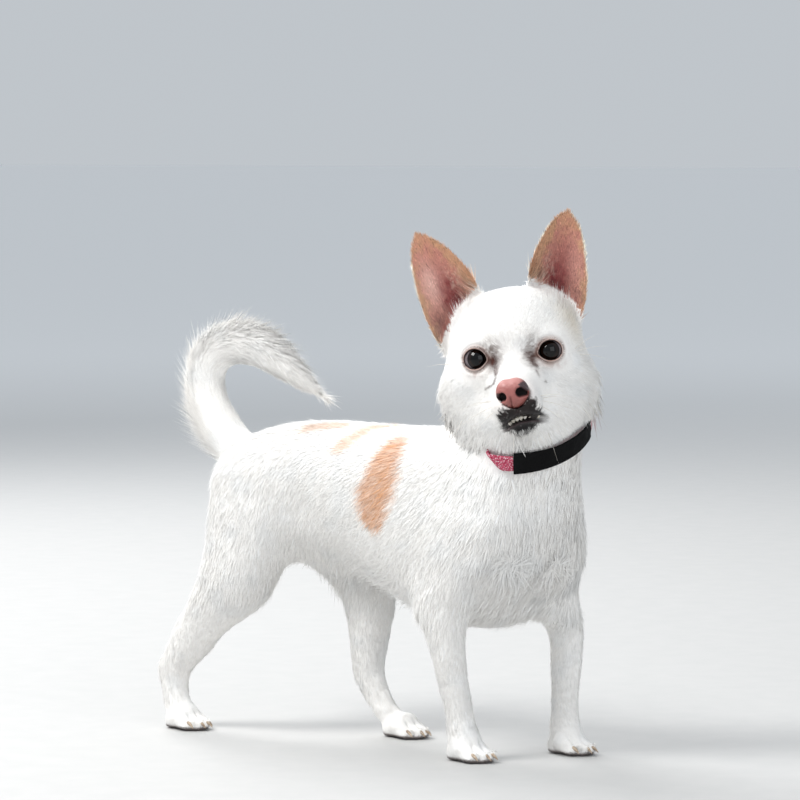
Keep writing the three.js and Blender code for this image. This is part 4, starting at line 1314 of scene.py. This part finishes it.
whiskers = [  # root and direction in the head's frame, and length
    ((-13, -49, -30), (-1, -0.05, 0.05), 26), ((-15, -46, -33), (-1, 0.15, -0.25), 30),
    ((-13.5, -48, -36), (-0.8, -0.1, -0.5), 22), ((-17, -43, -30), (-0.9, 0.4, 0.15), 24),
    ((14, -49, -30), (1, -0.05, 0.05), 26), ((16, -46, -33), (1, 0.15, -0.25), 30),
    ((15, -48, -36), (0.85, -0.1, -0.5), 24), ((18, -43, -31), (0.9, 0.4, 0.12), 26),
    ((37, -16, -2), (0.75, 0.2, 0.6), 24), ((38, -15, -4), (0.9, 0.2, 0.25), 26),
    ((38, -14, -7), (1, 0.2, -0.1), 24), ((41, -8, -36), (0.6, -0.1, -0.8), 22),
    ((38, -12, -40), (0.55, -0.2, -0.8), 20), ((-37, -14, -38), (-0.6, -0.1, -0.8), 20),
    ((18, -32, -55), (0.25, -0.35, -0.9), 21), ((-6, -40, -56), (-0.15, -0.4, -0.9), 16),
    ((-40, -10, -3), (-0.9, 0.2, 0.2), 20), ((-20, -32, 10), (-0.5, -0.3, 0.8), 15),
    ((20, -32, 10), (0.4, -0.3, 0.85), 16),
]


whisker = {"radius": 0.19, "droop": 0.22}


def makeWhiskers(skinPlaces):
    rod, faces = tube("whiskerShape", 5, 14)
    t = rod[:, 2:] + 0.5
    forms = []
    for root, way, length in whiskers:
        root, way = np.array(root, float), unit(np.array(way, float))
        root = skinPlaces[np.argmin(span(skinPlaces - root))] - way
        side = unit(np.cross(way, (0, 0.3, 1)))
        over = np.cross(side, way)
        p = root + way * length * t + np.array((0, 0.1, -1)) * (length * whisker["droop"] * t * t)
        p += (over * rod[:, :1] + side * rod[:, 1:2]) * whisker["radius"] * (1.04 - t)
        forms.append((outOfHead(p), faces))
    joined("whiskers", forms, ("whiskerHair", "efe9e0", "cfc6ba", 200, 0.3))


# The collar: a woven band, and a cloth sleeve over its front left part.
band = {
    "from": 0, "to": 360, "steps": 180, "width": 10, "thickness": 1.5, "raise": 0.6, "up": 0.6,
    "sink": 9.5, "wrinkle": 0,
}
sleeve = {
    "from": -153.5, "to": -63, "steps": 140, "width": 14.6, "thickness": 1.0, "raise": 1.4, "up": 1.3,
    "sink": 0, "wrinkle": 0.9,
}


def bandRadii():
    angle, height, radius = collarPlace(placesOf(bpy.data.objects["collar_band"].data))
    rows = {}
    for level in (-5, 0, 5):
        mine = np.abs(height - level) < 1.2
        rows[level] = {}
        for a, r in zip(np.round(angle[mine] / 11.25) * 11.25, radius[mine]):
            rows[level][a] = max(r, rows[level].get(a, 0))
    return rows


def neckSurface(rows, angle, height):
    angle = (np.asarray(angle, float) + 180) % 360 - 180
    found = []
    for level in (-5, 0, 5):
        keys = np.array(sorted(rows[level]))
        found.append(np.interp(angle, keys, [rows[level][k] for k in keys], period=360))
    low, middle, high = found
    t = np.clip(height / 5, -2.2, 2.2)
    return np.where(t < 0, middle + (low - middle) * -t, middle + (high - middle) * t)


def strip(name, piece, rows, material):
    bm = bmesh.new()
    bmesh.ops.create_grid(bm, x_segments=piece["steps"], y_segments=14, size=1)
    weave = bm.loops.layers.uv.new("weave")
    half = piece["width"] / 2
    girth = neckSurface(rows, 0, 0) * math.radians(piece["to"] - piece["from"])
    for face in bm.faces:
        for corner in face.loops:
            x, y, _ = corner.vert.co
            corner[weave].uv = (x * girth / 2, y * half)
    x, across, _ = np.array([vert.co for vert in bm.verts]).T
    angle = piece["from"] + (piece["to"] - piece["from"]) * (x + 1) / 2
    level = neckSurface(rows, angle, 0 * across)
    radius = level + (neckSurface(rows, angle, across * half) - level) * 0.85 + piece["raise"]
    radius -= piece["sink"] * hiddenAt(angle, across * half) + np.abs(across) ** 8 * piece["thickness"] / 2
    if piece["wrinkle"]:
        crumple = noise(np.stack([angle * 0.5, across * 5, 7 + 0 * across], 1), 3.2) - 0.5
        radius += piece["wrinkle"] * crumple * (1 - np.abs(across) ** 8)
        radius += 0.22 * bell(np.abs(across) - 0.84, 0.05)
    a = np.radians(angle)[:, None]
    spoke = np.cos(a) * collarSide + np.sin(a) * collarFront
    places = np.array(collar["centre"]) + spoke * radius[:, None]
    places += collarAxis * (across * half + piece["up"])[:, None]
    for vert, place in zip(bm.verts, toFrame(places)):
        vert.co = place
    bmesh.ops.remove_doubles(bm, verts=bm.verts, dist=0.00001)
    mesh = meshFrom(bm, name)
    mesh.shade_smooth()
    made = link(name, mesh, material)
    thick = made.modifiers.new("thick", "SOLIDIFY")
    thick.thickness = piece["thickness"] / 1000
    thick.offset = -1
    return made


def weaveLook(name, codes, pitch, fleck, rough):
    look = Look(name)
    place = look.node("ShaderNodeUVMap", {"uv_map": "weave"})
    split = [look.node("ShaderNodeSeparateXYZ", None, {0: place}, i) for i in (0, 1)]
    u, v = (way * (math.pi / pitch) for way in split)
    over = u.maths("SINE", u) * v.maths("SINE", v)
    ribs = over.maths("ABSOLUTE", over)
    wool = look.noise(0.8, 5, place)
    tone = look.blend(wool.above(0.3, 0.7), colour(codes[0]), colour(codes[1]))
    # painted shade: darker between the threads, where the bump sinks
    tone = look.blend(ribs * -0.5 + 0.5, tone, (0.35, 0.32, 0.34), "MULTIPLY")
    specks = look.noise(1.1, 3, place, 0.7).above(0.54, 0.62) * fleck
    tone = look.blend(specks, tone, colour(codes[2]))
    normal = look.bump(ribs + wool * 0.6, 0.7, 0.0004)
    return look.finish(Base_Color=tone, Roughness=rough, Normal=normal, Specular_IOR_Level=0.2)


def makeCollar():
    rows = bandRadii()
    look = weaveLook("pinkWebbing", ("a82746", "da5c7a", "f8e6ea"), 1.0, 0.9, 0.85)
    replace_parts(strip("collar_webbing", band, rows, look), "collar_band")
    look = weaveLook("blackCloth", ("030304", "0a0a0b", "1c1c20"), 0.45, 0.22, 0.92)
    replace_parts(strip("collar_cloth", sleeve, rows, look), "collar_sleeve")


skinPlaces = intoHead(placesOf(skinMesh))
eyeMaterial = eyeLook()
makeEye(-1, "eye_right", eyeMaterial)
makeEye(1, "eye_left", eyeMaterial)
makeNose()
makeTeeth(skinPlaces)
makeClaws()
makeWhiskers(skinPlaces)
makeCollar()
print("eyes, nose, teeth, claws, whiskers and collar")


# Stage, light and camera.
studio = {
    "aim": (0, 0, 0.2), "air": ((0.62, 0.66, 0.7, 1), 0.85),
    "lights": {  # place, size, watts and colour
        "key": ((-1.5, 0.6, 2.0), 1.0, 48, (1, 0.995, 0.98)),
        "fill": ((-0.8, -2.2, 1.1), 1.8, 15, (0.96, 0.98, 1)),
        "back": ((0.7, 1.7, 1.8), 1.5, 44, (1, 1, 1)),
    },
}


def addLight(name, place, size, power, colour):
    light = bpy.data.lights.new(name, "AREA")
    light.size, light.energy, light.color = size, power, colour
    made = put(name, light)
    made.location = place
    made.rotation_euler = (Vector(studio["aim"]) - Vector(place)).to_track_quat("-Z", "Y").to_euler()


def setStage():
    bm = bmesh.new()
    bmesh.ops.create_grid(bm, x_segments=1, y_segments=1, size=60)
    floorMesh = meshFrom(bm, "floor")
    look = Look("floorPaint")
    grain = look.noise(40, 4)
    tone = look.blend(grain, (0.52, 0.52, 0.51), (0.58, 0.57, 0.56))
    # painted light: far off, where the lamps reach little, the floor is painted near white so it fades
    # into the sky
    far = look.node("ShaderNodeVectorMath", {"operation": "LENGTH"}, {0: look.objectPlace()}, "Value")
    tone = look.blend(far.above(1.2, 6), tone, (0.97, 0.98, 0.99))
    floorMesh.materials.append(look.finish(Base_Color=tone, Roughness=0.75))
    floor = put("floor", floorMesh)
    world = bpy.data.worlds.new("studio")
    world.use_nodes = True
    background = world.node_tree.nodes["Background"].inputs
    background[0].default_value, background[1].default_value = studio["air"]
    bpy.context.scene.world = world
    for name, light in studio["lights"].items():
        addLight(name, *light)
    a, e = math.radians(photo["azimuth"]), math.radians(photo["down"])
    lens = bpy.data.cameras.new("camera")
    lens.sensor_width = photo["sensor"]
    lens.lens = photo["focal"] / photo["pixels"] * photo["sensor"]
    camera = put("camera", lens)
    camera.location = toFrame(np.array(photo["place"]))
    ahead = Vector((-math.sin(a) * math.cos(e), math.cos(a) * math.cos(e), -math.sin(e)))
    camera.rotation_euler = ahead.to_track_quat("-Z", "Y").to_euler()
    bpy.context.scene.camera = camera
    bpy.context.scene.view_settings.view_transform = "Standard"


setStage()
